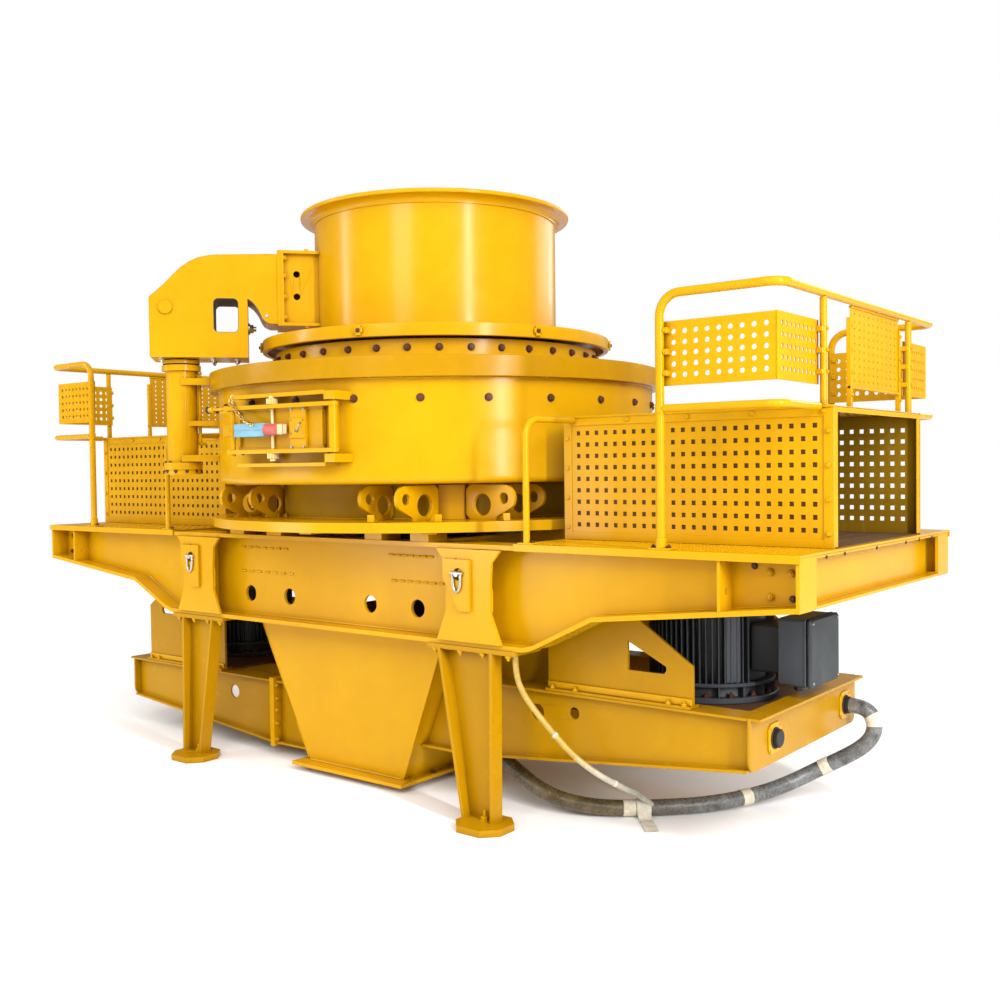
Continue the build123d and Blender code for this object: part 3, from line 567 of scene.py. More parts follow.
def make(name, g, mats, body="root", replaces=(), angle=35.0, smooth=True):
    me = bpy.data.meshes.new(name)
    k_ = 0.001 if isinstance(g, GM) else 1.0
    me.from_pydata([(x * k_, y * k_, z * k_) for x, y, z in g.v], [], g.f)
    mats = mats if isinstance(mats, (list, tuple)) else [mats]
    for mm in mats:
        me.materials.append(mm)
    for p, i in zip(me.polygons, g.m):
        p.material_index = i
    me.validate()
    me.update()
    if smooth:
        me.shade_smooth()
        me.set_sharp_from_angle(angle=radians(angle))
    ob = bpy.data.objects.new(name, me)
    bpy.context.scene.collection.objects.link(ob)
    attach(ob, body)
    if replaces:
        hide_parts(*replaces)
    return ob


# ---------------------------------------------------------------- cords
HOSE_R = 0.035
THIN_R = 0.013
hose_pts = [(2152, 365, 455), (2205, 365, 455), (2250, 364, 425), (2266, 362, 370), (2246, 358, 312), (2196, 354, 262), (2115, 350, 208),
            (2020, 340, 152), (1932, 260, 98), (1858, 140, 64), (1765, -15, 46), (1664, -160, 40), (1565, -258, 38), (1465, -348, 38),
            (1362, -434, 41), (1275, -492, 50), (1172, -528, 66), (1072, -524, 84), (970, -500, 108), (866, -470, 142), (768, -450, 187),
            (672, -443, 248), (587.5, -442, 295.8), (503, -442, 332.2)]
thin_pts = [(1516, -322, 50), (1498, -372, 92), (1496, -430, 130), (1496, -500, 160), (1494, -572, 196), (1460, -648, 244), (1383, -692, 304),
            (1322, -720, 366), (1262, -746, 440), (1202, -775, 520), (1160, -806, 600), (1148, -832, 682), (1148, -832, 761)]


def nurbs(name, pts, r):
    cu = bpy.data.curves.new(name, 'CURVE')
    cu.dimensions = '3D'
    cu.resolution_u = 10
    sp = cu.splines.new('NURBS')
    sp.points.add(len(pts) - 1)
    for p, q in zip(sp.points, pts):
        p.co = (q[0] / 1000, q[1] / 1000, q[2] / 1000, 1)
    sp.order_u = 3
    sp.use_endpoint_u = True
    cu.bevel_depth = r
    cu.bevel_resolution = 6
    cu.use_fill_caps = True
    ob = bpy.data.objects.new(name, cu)
    bpy.context.scene.collection.objects.link(ob)
    return ob


def line_of(pts, samples=200):
    ob = nurbs("route_probe", pts, 0.0)
    ob.data.bevel_depth = 0.0
    ob.data.resolution_u = 24
    dg = bpy.context.evaluated_depsgraph_get()
    me = bpy.data.meshes.new_from_object(ob.evaluated_get(dg))
    vs = [v.co.copy() for v in me.vertices]
    bpy.data.meshes.remove(me)
    cu = ob.data
    bpy.data.objects.remove(ob)
    bpy.data.curves.remove(cu)
    return vs


def length_of(vs):
    return sum((b_ - a).length for a, b_ in zip(vs[:-1], vs[1:]))


hose_line = line_of(hose_pts)
thin_line = line_of(thin_pts)
print("cord lengths", length_of(hose_line), length_of(thin_line))


# ---------------------------------------------------------------- floor and light
me = bpy.data.meshes.new("floor")
n_ = 64
me.from_pydata([(26 * cos(2 * pi * i / n_), 26 * sin(2 * pi * i / n_), -0.0005) for i in range(n_)], [], [tuple(range(n_))])
floor = bpy.data.objects.new("floor", me)
bpy.context.scene.collection.objects.link(floor)
me.materials.append(FLOOR)

world = bpy.context.scene.world or bpy.data.worlds.new("world")
bpy.context.scene.world = world
world.use_nodes = True
wb = world.node_tree.nodes.get("Background") or world.node_tree.nodes.new("ShaderNodeBackground")
wb.inputs["Color"].default_value = (1, 1, 1, 1)
wb.inputs["Strength"].default_value = 1.0
wnt = world.node_tree
wout = [n for n in wnt.nodes if n.type == 'OUTPUT_WORLD'][0]
lp = wnt.nodes.new("ShaderNodeLightPath")
wdif = wnt.nodes.new("ShaderNodeBackground")
wdif.inputs["Color"].default_value = (1.0, 0.995, 0.985, 1)
wdif.inputs["Strength"].default_value = 0.84
wgl = wnt.nodes.new("ShaderNodeBackground")
wgl.inputs["Color"].default_value = (0.95, 0.97, 1.0, 1)
wgl.inputs["Strength"].default_value = 0.30
mg = wnt.nodes.new("ShaderNodeMixShader")
mc = wnt.nodes.new("ShaderNodeMixShader")
wnt.links.new(lp.outputs["Is Glossy Ray"], mg.inputs[0])
wnt.links.new(wdif.outputs[0], mg.inputs[1])
wnt.links.new(wgl.outputs[0], mg.inputs[2])
wnt.links.new(lp.outputs["Is Camera Ray"], mc.inputs[0])
wnt.links.new(mg.outputs[0], mc.inputs[1])
wnt.links.new(wb.outputs[0], mc.inputs[2])
wnt.links.new(mc.outputs[0], wout.inputs["Surface"])
bpy.context.scene.view_settings.view_transform = 'Standard'
bpy.context.scene.view_settings.look = 'None'
bpy.context.scene.view_settings.exposure = 0.0
bpy.context.scene.view_settings.gamma = 1.0


def area(name, loc, to, size, power, col=(1, 1, 1)):
    ld = bpy.data.lights.new(name, 'AREA')
    ld.shape = 'RECTANGLE'
    ld.size, ld.size_y = size
    ld.energy = power
    ld.color = col
    o = bpy.data.objects.new(name, ld)
    o.location = loc
    o.rotation_euler = (Vector(to) - Vector(loc)).to_track_quat('-Z', 'Y').to_euler()
    bpy.context.scene.collection.objects.link(o)
    return o


sun_data = bpy.data.lights.new("soft_sun", 'SUN')
sun_data.energy = 1.35
sun_data.angle = radians(40)
sun_data.color = (1.0, 0.985, 0.96)
sun = bpy.data.objects.new("soft_sun", sun_data)
sun_dir = Vector((cos(radians(-38)) * cos(radians(38)), sin(radians(-38)) * cos(radians(38)), sin(radians(38))))
sun.rotation_euler = (-sun_dir).to_track_quat('-Z', 'Y').to_euler()
bpy.context.scene.collection.objects.link(sun)
area("strip_right", (0.94 * 7, -0.34 * 7, 3.4), (0, 0, 2.0), (0.30, 4.2), 360, (1.0, 1.0, 1.0))
area("left_rim", (-5.5, -5.0, 4.2), (-0.3, 0, 2.5), (0.9, 3.0), 120, (1.0, 1.0, 1.0))
area("jib_fill", (1.4, -6.6, 4.2), (-0.5, -0.6, 2.7), (2.0, 2.0), 120, (1.0, 0.99, 0.97))
area("low_left_fill", (-3.6, -6.4, 1.0), (-0.6, -0.6, 1.4), (2.6, 1.2), 70, (1.0, 1.0, 1.0))
area("back_fill", (2.0, 8.5, 5.0), (0, 0, 1.5), (6.0, 3.0), 200, (1.0, 1.0, 1.0))


# ---------------------------------------------------------------- carried-over CAD nodes
def finish_node(name, mat, bevel=0.0025, seg=2, inner=None):
    o = NODES[name]
    for s in o.material_slots:
        s.material = mat
    if not o.material_slots:
        o.data.materials.append(mat)
    if bevel:
        w = o.modifiers.new("weld", 'WELD')
        w.merge_threshold = 0.00005
        bv = o.modifiers.new("edge", 'BEVEL')
        bv.width = bevel
        bv.segments = seg
        bv.limit_method = 'ANGLE'
        bv.angle_limit = radians(38)
        bv.harden_normals = False
        wn = o.modifiers.new("normals", 'WEIGHTED_NORMAL')
        wn.keep_sharp = False
        wn.weight = 60
    return o


YNODES = {"main_girders": 0.003, "end_channels": 0.0025, "cross_members": 0.0025, "deck_plates": 0.002, "support_legs": 0.003, "lifting_brackets": 0.0025,
          "discharge_chute": 0.002, "belt_guard": 0.004, "base_ring_plate": 0.004, "housing_lugs": 0.002, "chamber_body": 0.0,
          "chamber_cover": 0.004, "cover_bolt_ring": 0.003, "hopper_cover": 0.003, "feed_hopper": 0.002, "hopper_bracket": 0.002, "jib_arm": 0.004,
          "jib_column": 0.003, "motor_frame_beams": 0.0025, "motor_frame_ends": 0.0025, "frame_joint_plates": 0.003,
          "hanger_plates": 0.002, "platform_tops": 0.0015, "guard_rails": 0.0, "lower_rails": 0.0, "grab_handles": 0.0,
          "door_surround": 0.002, "door_hinge_post": 0.002, "door_leaf": 0.002, "door_frame": 0.002}
# these nodes get the darker yellow enamel as painted shade
SHADE_PAINTED_NODES = ("motor_frame_beams", "motor_frame_ends", "support_legs", "hanger_plates", "platform_tops", "chamber_cover")
for k_, w_ in YNODES.items():
    finish_node(k_, YEL_SHADE_LOW if k_ in SHADE_PAINTED_NODES else YEL, w_)
finish_node("rotor_drum", CASTD, 0.004)
finish_node("bearing_housing", CASTD, 0.004)
# the lower housing gets the darker yellow as painted shade
finish_node("lower_housing", HOUSING_SHADE, 0.0)
# painted shade: the base plates sit in shade under the motor flanges and get the dark brown
finish_node("motor_base_plates", BROWN, 0.002)
finish_node("lift_ram", CASTD, 0.0)
finish_node("door_bolts", YEL, 0.0015)
finish_node("interlock_box", BLUE, 0.003, 3)
finish_node("interlock_plug", RED, 0.002)

# ---------------------------------------------------------------- the two hoses
hose = nurbs("hose_bundle_wrapped", hose_pts, HOSE_R)
hose.data.materials.append(FILM)
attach(hose, "root")
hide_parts("hose_bundle")
thin = nurbs("control_hose_wrapped", thin_pts, THIN_R)
thin.data.materials.append(THIN)
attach(thin, "root")
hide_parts("control_hose")
# ---------------------------------------------------------------- detail pieces, lengths in millimetres
class GM(Geo):
    """The same builder with every length in millimetres."""

    def box(self, x0, x1, y0, y1, z0, z1, c=1.5):
        Geo.box(self, x0, x1, y0, y1, z0, z1, c)

    def cyl(self, p0, p1, r, n=24, c=1.2, r1=None):
        Geo.cyl(self, p0, p1, r, n, c, r1)

    def hexbolt(self, p, d, s=12.0, h=9.0, washer=True, stud=0.0, turn=0.0):
        p, d = Vector(p), Vector(d).normalized()
        if washer:
            self.cyl(p - d * 0.5, p + d * 2.6, s * 1.3, 18, 0.6)
        self.cyl_n(p + d * 2.0, p + d * h, s * 1.08, 6, s * 0.14, turn)
        if stud > 0:
            self.cyl(p + d * (h - 1), p + d * (h + stud), s * 0.52, 10, 0.8)

    def bead(self, pts, r=4.0, n=6, step=14.0, seed=1):
        Geo.bead(self, pts, r, n, step, seed)

    def circle_bead(self, R, z, r=4.0, n=6, step=14.0, a0=0.0, a1=2 * pi, seed=1):
        k = max(8, int(abs(a1 - a0) * R / step))
        self.bead([(R * cos(a0 + (a1 - a0) * i / k), R * sin(a0 + (a1 - a0) * i / k), z) for i in range(k + 1)], r, n, step * 1.2, seed)


def dirxy(deg):
    return Vector((cos(radians(deg)), sin(radians(deg)), 0))


def perforated(g, f, W, H, t, cols, rows, frac, mx, my, kind="square"):
    """A plate W by H and t thick with cols x rows holes; f(u, v, w) places it."""
    flip = (Vector(f(1, 0, 0)) - Vector(f(0, 0, 0))).cross(Vector(f(0, 1, 0)) - Vector(f(0, 0, 0))).dot(Vector(f(0, 0, 1)) - Vector(f(0, 0, 0))) < 0
    px_, py_ = (W - 2 * mx) / cols, (H - 2 * my) / rows
    vs, fs, idx = [], [], {}

    def vert(key, u, v, w):
        if key not in idx:
            idx[key] = len(vs)
            vs.append(tuple(f(u, v, w)))
        return idx[key]

    def quad(a, b_, c, d):
        fs.append((a, b_, c, d) if not flip else (d, c, b_, a))

    ring8 = [(-1, -1), (0, -1), (1, -1), (1, 0), (1, 1), (0, 1), (-1, 1), (-1, 0)]
    for i in range(cols):
        for j in range(rows):
            cu, cv = mx + (i + 0.5) * px_, my + (j + 0.5) * py_
            hr = frac * min(px_, py_) / 2
            for w, s_ in ((t, 1), (0.0, 0)):
                outer = [vert((2 * i + 1 + a, 2 * j + 1 + b_, s_), cu + a * px_ / 2, cv + b_ * py_ / 2, w) for a, b_ in ring8]
                inner = []
                for q, (a, b_) in enumerate(ring8):
                    if kind == "round":
                        L = hypot(a, b_)
                        a, b_ = a / L, b_ / L
                    inner.append(vert(("h", i, j, q, s_), cu + a * hr, cv + b_ * hr, w))
                for q in range(8):
                    q2 = (q + 1) % 8
                    if s_:
                        quad(outer[q], outer[q2], inner[q2], inner[q])
                    else:
                        quad(outer[q2], outer[q], inner[q], inner[q2])
            for q in range(8):
                q2 = (q + 1) % 8
                quad(idx[("h", i, j, q, 1)], idx[("h", i, j, q2, 1)], idx[("h", i, j, q2, 0)], idx[("h", i, j, q, 0)])
    g.add(vs, fs)
    # plain margins round the field of holes
    for u0, u1, v0, v1 in ((0, W, 0, my), (0, W, H - my, H), (0, mx, my, H - my), (W - mx, W, my, H - my)):
        c8 = [f(u, v, w) for w in (0, t) for u, v in ((u0, v0), (u1, v0), (u1, v1), (u0, v1))]
        q8 = [(0, 3, 2, 1), (4, 5, 6, 7), (0, 1, 5, 4), (1, 2, 6, 5), (2, 3, 7, 6), (3, 0, 4, 7)]
        g.add([tuple(c) for c in c8], [q if not flip else q[::-1] for q in q8])


def bottom_z(x):
    x = abs(x)
    if x <= 1191:
        return 779.0
    if x <= 1560:
        t, s = x - 1191, 155.0 / 319.5
        return 779.0 + (s * t * t / 198.0 if t < 99 else s * (t - 49.5))
    return 934 + 96.0 * (x - 1560) / 874.0


# chamber and ring bolts
g = GM()
for k in range(24):
    d_ = dirxy(-52.5 + 15 * k)
    p_ = d_ * 1159.5
    p_.z = 1870
    g.hexbolt(p_, d_, 14.5, 15, stud=5, turn=k * 0.7)
make("chamber_wall_bolts", g, BOLT)
g = GM()
for k in range(36):
    d_ = dirxy(-48 + 10 * k)
    p_ = d_ * 861.5
    p_.z = 2124
    g.hexbolt(p_, d_, 14, 17, stud=6, turn=k * 0.9)
make("cover_ring_bolts", g, BOLT)
# weld beads on fixed steelwork
g = GM()
for sy in (-1, 1):
    y = sy * 777
    for z_of in (lambda x: bottom_z(x) + 21.5, lambda x: 1204.5):
        pts = [(x, y, z_of(x)) for x in [-2415 + 4830 * i / 120 for i in range(121)]]
        g.bead(pts, 4.2, 6, 26, seed=3 + sy)
g.circle_bead(1161.5, 1959, 3.4, 6, 22)
g.circle_bead(861.5, 1319.5, 4.5, 6, 16)
g.circle_bead(864, 2056.5, 4.2, 6, 16)
for sx in (-1, 1):
    for sy in (-1, 1):
        for z0, z1 in ((60, 238), (402, 770)):
            def cc(z):
                return (sx * (330 + 315 * (z - 44) / 732 + 0.5), sy * (668 + 48 * (z - 44) / 732 + 0.5), z)
            g.bead([cc(z0), cc(z1)] if sy < 0 or sx < 0 else [cc(60), cc(770)], 3.6, 6, 14)
for a_ in (-1, 1):
    g.bead([(a_ * 322, -669, 50), (-a_ * 322, -669, 50)], 3.5, 6, 14)
for x0, x1, sy in ((690, 1185, -1), (690, 1185, 1), (-1185, -760, -1), (-1185, -760, 1)):
    g.bead([(x0 + 8, sy * 876, 760), (x1 - 8, sy * 876, 760)], 3.2, 6, 16)
make("frame_weld_beads", g, YEL)

# short weld marks on the lifting brackets and webs
g = GM()
for xc in (-950, 935):
    for sy in (-1, 1):
        for dx_, z0, z1 in ((-126, 940, 1040), (126, 940, 1040)):
            g.bead([(xc + dx_, sy * 876, z0), (xc + dx_, sy * 876, z1)], 3.5, 6, 12)
for sy in (-1, 1):
    for z, x0, x1 in ((1150, -720, -330), (1024, -720, -285), (1150, 361, 650), (1030, 378, 720)):
        n_ = 7
        for i in range(n_):
            xa = x0 + (x1 - x0) * i / n_
            g.bead([(xa, sy * 776, z), (xa + 34, sy * 776, z + 1.5)], 6.0, 8, 9, seed=i)
make("stitch_welds", g, YEL)

# bolts of the frame: leg tops, feet, girder ends, motor frames, hangers
gy = GM()
g = GM()
for sy in (-1, 1):
    for x in (728, 872, 998, 1137, -1148, -1020, -900, -800):
        gy.hexbolt((x, sy * 866, 761), (0, 0, -1), 14, 15, stud=10)
    for sx in (-1, 1):
        gy.hexbolt((sx * 1000, sy * 867, 30), (0, 0, 1), 18, 18, stud=26)
        for x, z in ((2220, 1182), (2367, 1069)):
            g.hexbolt((sx * x, sy * 775.5, z), (0, sy, 0), 10, 10)
        for x, z in ((2283, 1162), (2364, 1160), (2283, 1071)):
            gy.hexbolt((sx * x, sy * 775.5, z), (0, sy, 0), 12, 13, stud=5)
for x in (-640, -350, 350, 640):
    for sy in (-1, 1):
        for dx_ in (-30, 30):
            gy.hexbolt((x + dx_, sy * 810, 1318), (0, 0, 1), 13, 13, stud=8)
for sx, zt, zj, yf in ((1, 572, 214, 620), (-1, 412, 66, 600)):
    for sy in (-1, 1):
        yo = yf if sy < 0 else yf - 120
        for z in (zj + 24, zj + 110, (zt + zj) / 2 + 10, zt - 100, zt - 26):
            for s2, xb in ((-1, 678), (1, 710)):
                gy.hexbolt((sx * xb, sy * (yo - 6), z), (sx * s2, 0, 0), 11, 11, stud=5)
        for x in (1180, 1300, 1757, 1830):
            gy.hexbolt((sx * x, sy * (yo - 14), zt + 12), (0, 0, 1), 11, 11, stud=6)
make("frame_bolts", g, BOLT)
make("frame_bolts_painted", gy, YEL)

# rubber plugs and clips
g = GM()
for sx in (-1, 1):
    for y in (-627, -445, -95, 264, 445, 627):
        g.cyl((sx * 2434 - sx * 2, y, 1213), (sx * 2435.5, y, 1213), 8, 16, 0.8)
make("end_channel_plugs", g, BLACK)
g = GM()
for ang in (-49, -33.7, -64, 131, 146, 116):
    d_ = dirxy(ang)
    with g.at(Matrix.Rotation(radians(ang), 4, 'Z')):
        g.box(1105, 1165, -16, 16, 1318, 1326)
        g.box(1148, 1162, -16, 16, 1322, 1352)
        g.hexbolt((1125, 0, 1326), (0, 0, 1), 9, 10)
for ang in range(0, 360, 30):
    with g.at(Matrix.Rotation(radians(ang + 9), 4, 'Z')):
        g.box(1060, 1150, -34, 34, 1262, 1272)
make("ring_plate_clips", g, YEL)

# shackles on the lifting brackets
g = GM()
for xc in (-950, 935):
    for sy in (-1, 1):
        x0, y0, z0 = xc - 40, sy * 897, 1095
        g.cyl((x0 - 3, sy * 868, z0), (x0 - 3, sy * 918, z0), 11, 20)
        pts = []
        for i in range(17):
            a_ = pi * i / 16
            pts.append((x0 - 3 + 24 * cos(a_) * 0.9, sy * 911, z0 - 30 - 46 * sin(a_)))
        pts = [(x0 + 19, sy * 911, z0 + 8), (x0 + 19, sy * 911, z0 - 14)] + pts + [(x0 - 25, sy * 911, z0 - 14), (x0 - 25, sy * 911, z0 + 8)]
        g.tube(pts, 6.5, 12)
        g.cyl((x0 - 38, sy * 911, z0 + 6), (x0 + 32, sy * 911, z0 + 6), 7.5, 16)
make("lifting_shackles", g, ZINC)

# ---------------------------------------------------------------- hopper and jib
def jm():
    return Matrix.Rotation(radians(230), 4, 'Z')


g = GM()
prof = [(646, 2846)] + [(650 + 34 * (1 - cos(a_)) + 4, 2880 - 34 + 34 * sin(a_)) for a_ in [pi / 2 * i / 8 for i in range(9)]] + [(646, 2881)]
g.revolve(prof, 128)
g.revolve([(716 + 5.5 * cos(2 * pi * i / 12), 2889 + 9.5 * sin(2 * pi * i / 12)) for i in range(12)], 128)
g.circle_bead(650, 2234, 5.0, 6, 14)
make("hopper_lip_and_weld", g, YEL, body="jib")
g = GM()
g.revolve([(637.5, 2300), (637.5, 2890), (636, 2890), (636, 2300)], 96)
g.revolve([(637, 2262), (637, 2300), (620, 2300), (300, 2246), (300, 2240), (620, 2262)], 96)
make("hopper_wear_lining", g, STEEL, body="jib")

g = GM()
for ang, w in ((-130, 20), (32.4, 20), (-71.8, 14), (-17.9, 14), (108, 20), (162, 14)):
    with g.at(Matrix.Rotation(radians(ang), 4, 'Z')):
        g.box(926, 941, -w, w, 2178, 2226)
        g.box(934, 941, -w - 9, w + 9, 2190, 2214)
make("disc_lugs", g, YEL, body="jib")
g = GM()
for ang in (-71.8, -17.9, -130, 32.4, 108, 162):
    d_ = dirxy(ang)
    p_ = d_ * 940.5
    p_.z = 2202
    g.hexbolt(p_, d_, 8, 8)
make("disc_lug_bolts", g, BOLT, body="jib")

# jib arm: a dark sheet on the slot walls as painted shade, pins, flange bolts, nuts
g = GM()
with g.at(jm()):
    so = rounded([(1047, 2264), (1172, 2264), (1172, 2438), (1047, 2438)], 26, 6)
    si = rounded([(1049.5, 2266.5), (1169.5, 2266.5), (1169.5, 2435.5), (1049.5, 2435.5)], 23.5, 6)
    n_ = len(so)
    vs = [(a, w, b_) for w in (-144, 144) for pl in (so, si) for a, b_ in pl]
    fs = []
    for i in range(n_):
        j = (i + 1) % n_
        fs += [(i, j, n_ + j, n_ + i), (2 * n_ + i, 3 * n_ + i, 3 * n_ + j, 2 * n_ + j), (n_ + i, n_ + j, 3 * n_ + j, 3 * n_ + i), (i, 2 * n_ + i, 2 * n_ + j, j)]
    g.add(vs, fs)
make("arm_slot_painted_shade", g, SLOT_SHADE, body="jib")
g = GM()
with g.at(jm()):
    for sy in (-1, 1):
        g.cyl((905, sy * 144, 2352), (905, sy * 149, 2352), 9, 20)
    g.cyl((1002, 0, 2300), (992, 0, 2300), 30, 28, 2)
    g.cyl_n((993, 0, 2300), (974, 0, 2300), 24, 6, 3)
    g.cyl((975, 0, 2300), (960, 0, 2300), 13, 18)
    for x, y in ((1060, -70), (1060, 70), (1180, -90), (1180, 90), (1435, -100), (1435, 100)):
        g.hexbolt((x, y, 2136), (0, 0, -1), 12, 13, stud=9)
make("jib_pins_and_nuts", g, ZINC, body="jib")
g = GM()
with g.at(jm()):
    for sy in (-1, 1):
        for z in (2345, 2452, 2560, 2652):
            g.hexbolt((816, sy * 134, z), (-1, 0, 0), 12, 12, stud=6)
        for z in (2336, 2660):
            g.hexbolt((700, sy * 134, 2690 if z > 2500 else 2302), (0, 0, 1 if z > 2500 else -1), 10, 10)
make("jib_flange_bolts", g, YEL, body="jib")
g = GM()
with g.at(jm()):
    for sy in (-1, 1):
        g.bead([(849.5, sy * 146, 2320), (849.5, sy * 146, 2666)], 3.6, 6, 12)
        for z0 in (2319.5, 2672.5):
            g.bead([(654, sy * 119.5, z0), (814, sy * 119.5, z0)], 3.2, 6, 12)
    ol = [(1485, 2140), (1485, 2437), (1452, 2466), (1415, 2500), (1372, 2545), (1331, 2586), (1290, 2616), (1247, 2638), (1203, 2650), (1158, 2656), (860, 2667.5)]
    for sy in (-1, 1):
        g.bead([(x, sy * 144.2, z + 0.4) for x, z in ol], 2.6, 6, 12)
    g.box(1060, 1130, -146.5, -144, 2500, 2560, 0.6)
make("jib_welds", g, YEL, body="jib")

# column: collar bolts, side rod with clamps, weld rings
g = GM()
cx_, cy_ = 1345 * cos(radians(230)), 1345 * sin(radians(230))
for k in range(10):
    a_ = 2 * pi * k / 10 + 0.2
    p_ = Vector((cx_ + 86 * cos(a_), cy_ + 86 * sin(a_), 1566.5))
    g.cyl_n(p_, p_ + Vector((0, 0, -15)), 11, 6, 1.5, k)
    g.cyl(p_ + Vector((0, 0, -14)), p_ + Vector((0, 0, -21)), 6, 10)
for k in range(8):
    a_ = 2 * pi * k / 8 + 0.1
    p_ = Vector((cx_ + 88 * cos(a_), cy_ + 88 * sin(a_), 1602))
    g.hexbolt(p_, (0, 0, 1), 6.5, 8)
make("column_bolts", g, BOLT)
rx, ry = cx_ + 92 * 0.787, cy_ + 92 * 0.617
g = GM()
g.cyl((rx, ry, 1706), (rx, ry, 2062), 9, 20)
g.cyl((rx, ry, 2058), (rx, ry, 2072), 13, 20)
g.cyl_n((rx, ry, 1816.5), (rx, ry, 1830), 15, 6, 2)
g.cyl_n((rx, ry, 2034.5), (rx, ry, 2048), 15, 6, 2)
make("column_side_rod", g, YEL)
g = GM()

for z, r_ in ((1603.5, 79.5), (2072.5, 79.5)):
    k = 40
    g.bead([(cx_ + r_ * cos(2 * pi * i / k), cy_ + r_ * sin(2 * pi * i / k), z) for i in range(k + 1)], 3.6, 6, 12)
g.box(rx - 22, rx + 22, ry - 10, ry + 22, 1690, 1706)
make("column_welds", g, YEL)
g = GM()
g.revolve([(70, 2110.5), (92.6, 2110.5), (94, 2112), (94, 2128.5), (92.6, 2130), (70, 2130)], 72, cx=cx_, cy=cy_)
make("ram_collar_ring", g, YEL, body="ram")

# ---------------------------------------------------------------- inspection door
DM = Matrix.Rotation(radians(4), 4, 'Z')        # local X along the wall, local -Y outward
g = GM()
with g.at(DM):
    # knob of the side bolt, collar of the drop bolt, knurled screw heads
    g.cyl((-470, -1204, 1848), (-454, -1204, 1848), 17, 24, 4)
    g.cyl((-455, -1204, 1848), (-440, -1204, 1848), 10, 20)
make("door_knob", g, BLACK, body="door")
g = GM()
with g.at(DM):
    for z0, z1, s_ in ((1884, 1896, 1), (1598, 1610, -1)):
        g.cyl((-36, -1204, z0), (-36, -1204, z1), 14, 24)
    for zc in (1870.5, 1621.5):
        for k in range(20):
            a_ = 2 * pi * k / 20
            g.cyl((-36 + 24 * cos(a_), -1204 + 24 * sin(a_), zc - 12), (-36 + 24 * cos(a_), -1204 + 24 * sin(a_), zc + 12), 2.2, 6, 0.5)
    g.cyl((-295, -1204, 1880), (-295, -1204, 1896), 8, 16)
    g.cyl((-44, -1195, 1640), (-44, -1195, 1846), 7, 20)
    g.tube([(-295, -1204 + 12 * cos(a_), 1899 + 12 * sin(a_)) for a_ in [2 * pi * i / 20 for i in range(21)]], 2.6, 8)
make("door_screw_details", g, PALE, body="door")
g = GM()
with g.at(DM):
    # small chain from the drop bolt down to the switch
    P0, P1 = Vector((-292, -1226, 1886)), Vector((-118, -1251, 1768))
    N_ = 13
    for i in range(N_):
        t0 = (i + 0.5) / N_
        c_ = P0.lerp(P1, t0)
        c_.z -= 22 * sin(pi * t0)
        dirv = (P1 - P0).normalized()
        dirv = Vector((dirv.x, dirv.y, dirv.z - 22 * pi * cos(pi * t0) / (P1 - P0).length)).normalized()
        up_ = Vector((0, -1, 0)) if i % 2 == 0 else Vector((0, 0, 1))
        sd = dirv.cross(up_).normalized()
        pts = []
        for q in range(13):
            a_ = 2 * pi * q / 12
            pts.append(tuple(c_ + dirv * (13.4 * cos(a_)) + sd * (8.4 * sin(a_))))
        g.tube(pts, 3.2, 8, caps=False)
make("door_chain", g, BRASS, body="door")
g = GM()
with g.at(DM):
    g.box(17.4, 56.6, -1232.6, -1203.4, 1717.4, 1766.6, 4)
make("plug_end_cap", g, PALE, body="door")
g = GM()
with g.at(DM):
    # hook of the plug
    hk = [(185, -1203, 1768), (185, -1216, 1768), (185, -1222, 1758), (185, -1222, 1735), (185, -1232, 1726), (185, -1246, 1732), (185, -1248, 1746)]
    hk = [(x - 40, y, z) for x, y, z in hk]
    g.tube(hk, 3.6, 10)
make("door_hook", g, STEEL, body="door")
g = GM()
with g.at(DM):
    for u in (-268, 262):
        g.box(u - 4, u + 10 if u < 0 else u + 4, -1196, -1170, 1668, 1824, 1)
    g.box(-262, 262, -1187, -1182, 1646, 1662, 1)
    g.box(-262, 262, -1187, -1182, 1828, 1844, 1)
    g.box(72, 168, -1206, -1200, 1700, 1790, 1)
    g.box(-376, -300, -1212, -1196, 1828, 1836, 1)
    g.box(-352, -322, -1212, -1196, 1836, 1862, 1)
make("door_stiffeners", g, YEL, body="door")
g = GM()
with g.at(DM):
    for u in (-246, -66):
        for z in (1718, 1766):
            g.cyl((u, -1239.5, z), (u, -1242.5, z), 3.4, 12, 0.5)
    g.box(-252.5, -59.5, -1242, -1239.5, 1740.5, 1742, 0.2)
    for u in (76, 164):
        for z in (1660, 1720, 1780, 1830):
            g.hexbolt((u + (6 if u < 100 else -6), -1200, z), (0, -1, 0), 6, 6)
make("door_small_screws", g, STEEL, body="door")
g = GM()
with g.at(DM):
    for u0, u1 in ((-290, 296),):
        for z in (1856, 1636):
            for i in range(8):
                u = u0 + 20 + (u1 - u0 - 40) * i / 7
                if abs(u) < 255:
                    continue
                g.hexbolt((u, -1166, z if z < 1700 else z - 16), (0, -1, 0), 7, 7)
make("door_wall_fittings", g, BOLT)
g = GM()
with g.at(DM):
    g.box(-450, -372, -1130, -1085, 1722, 1782, 3)
make("door_side_bracket", g, YEL)

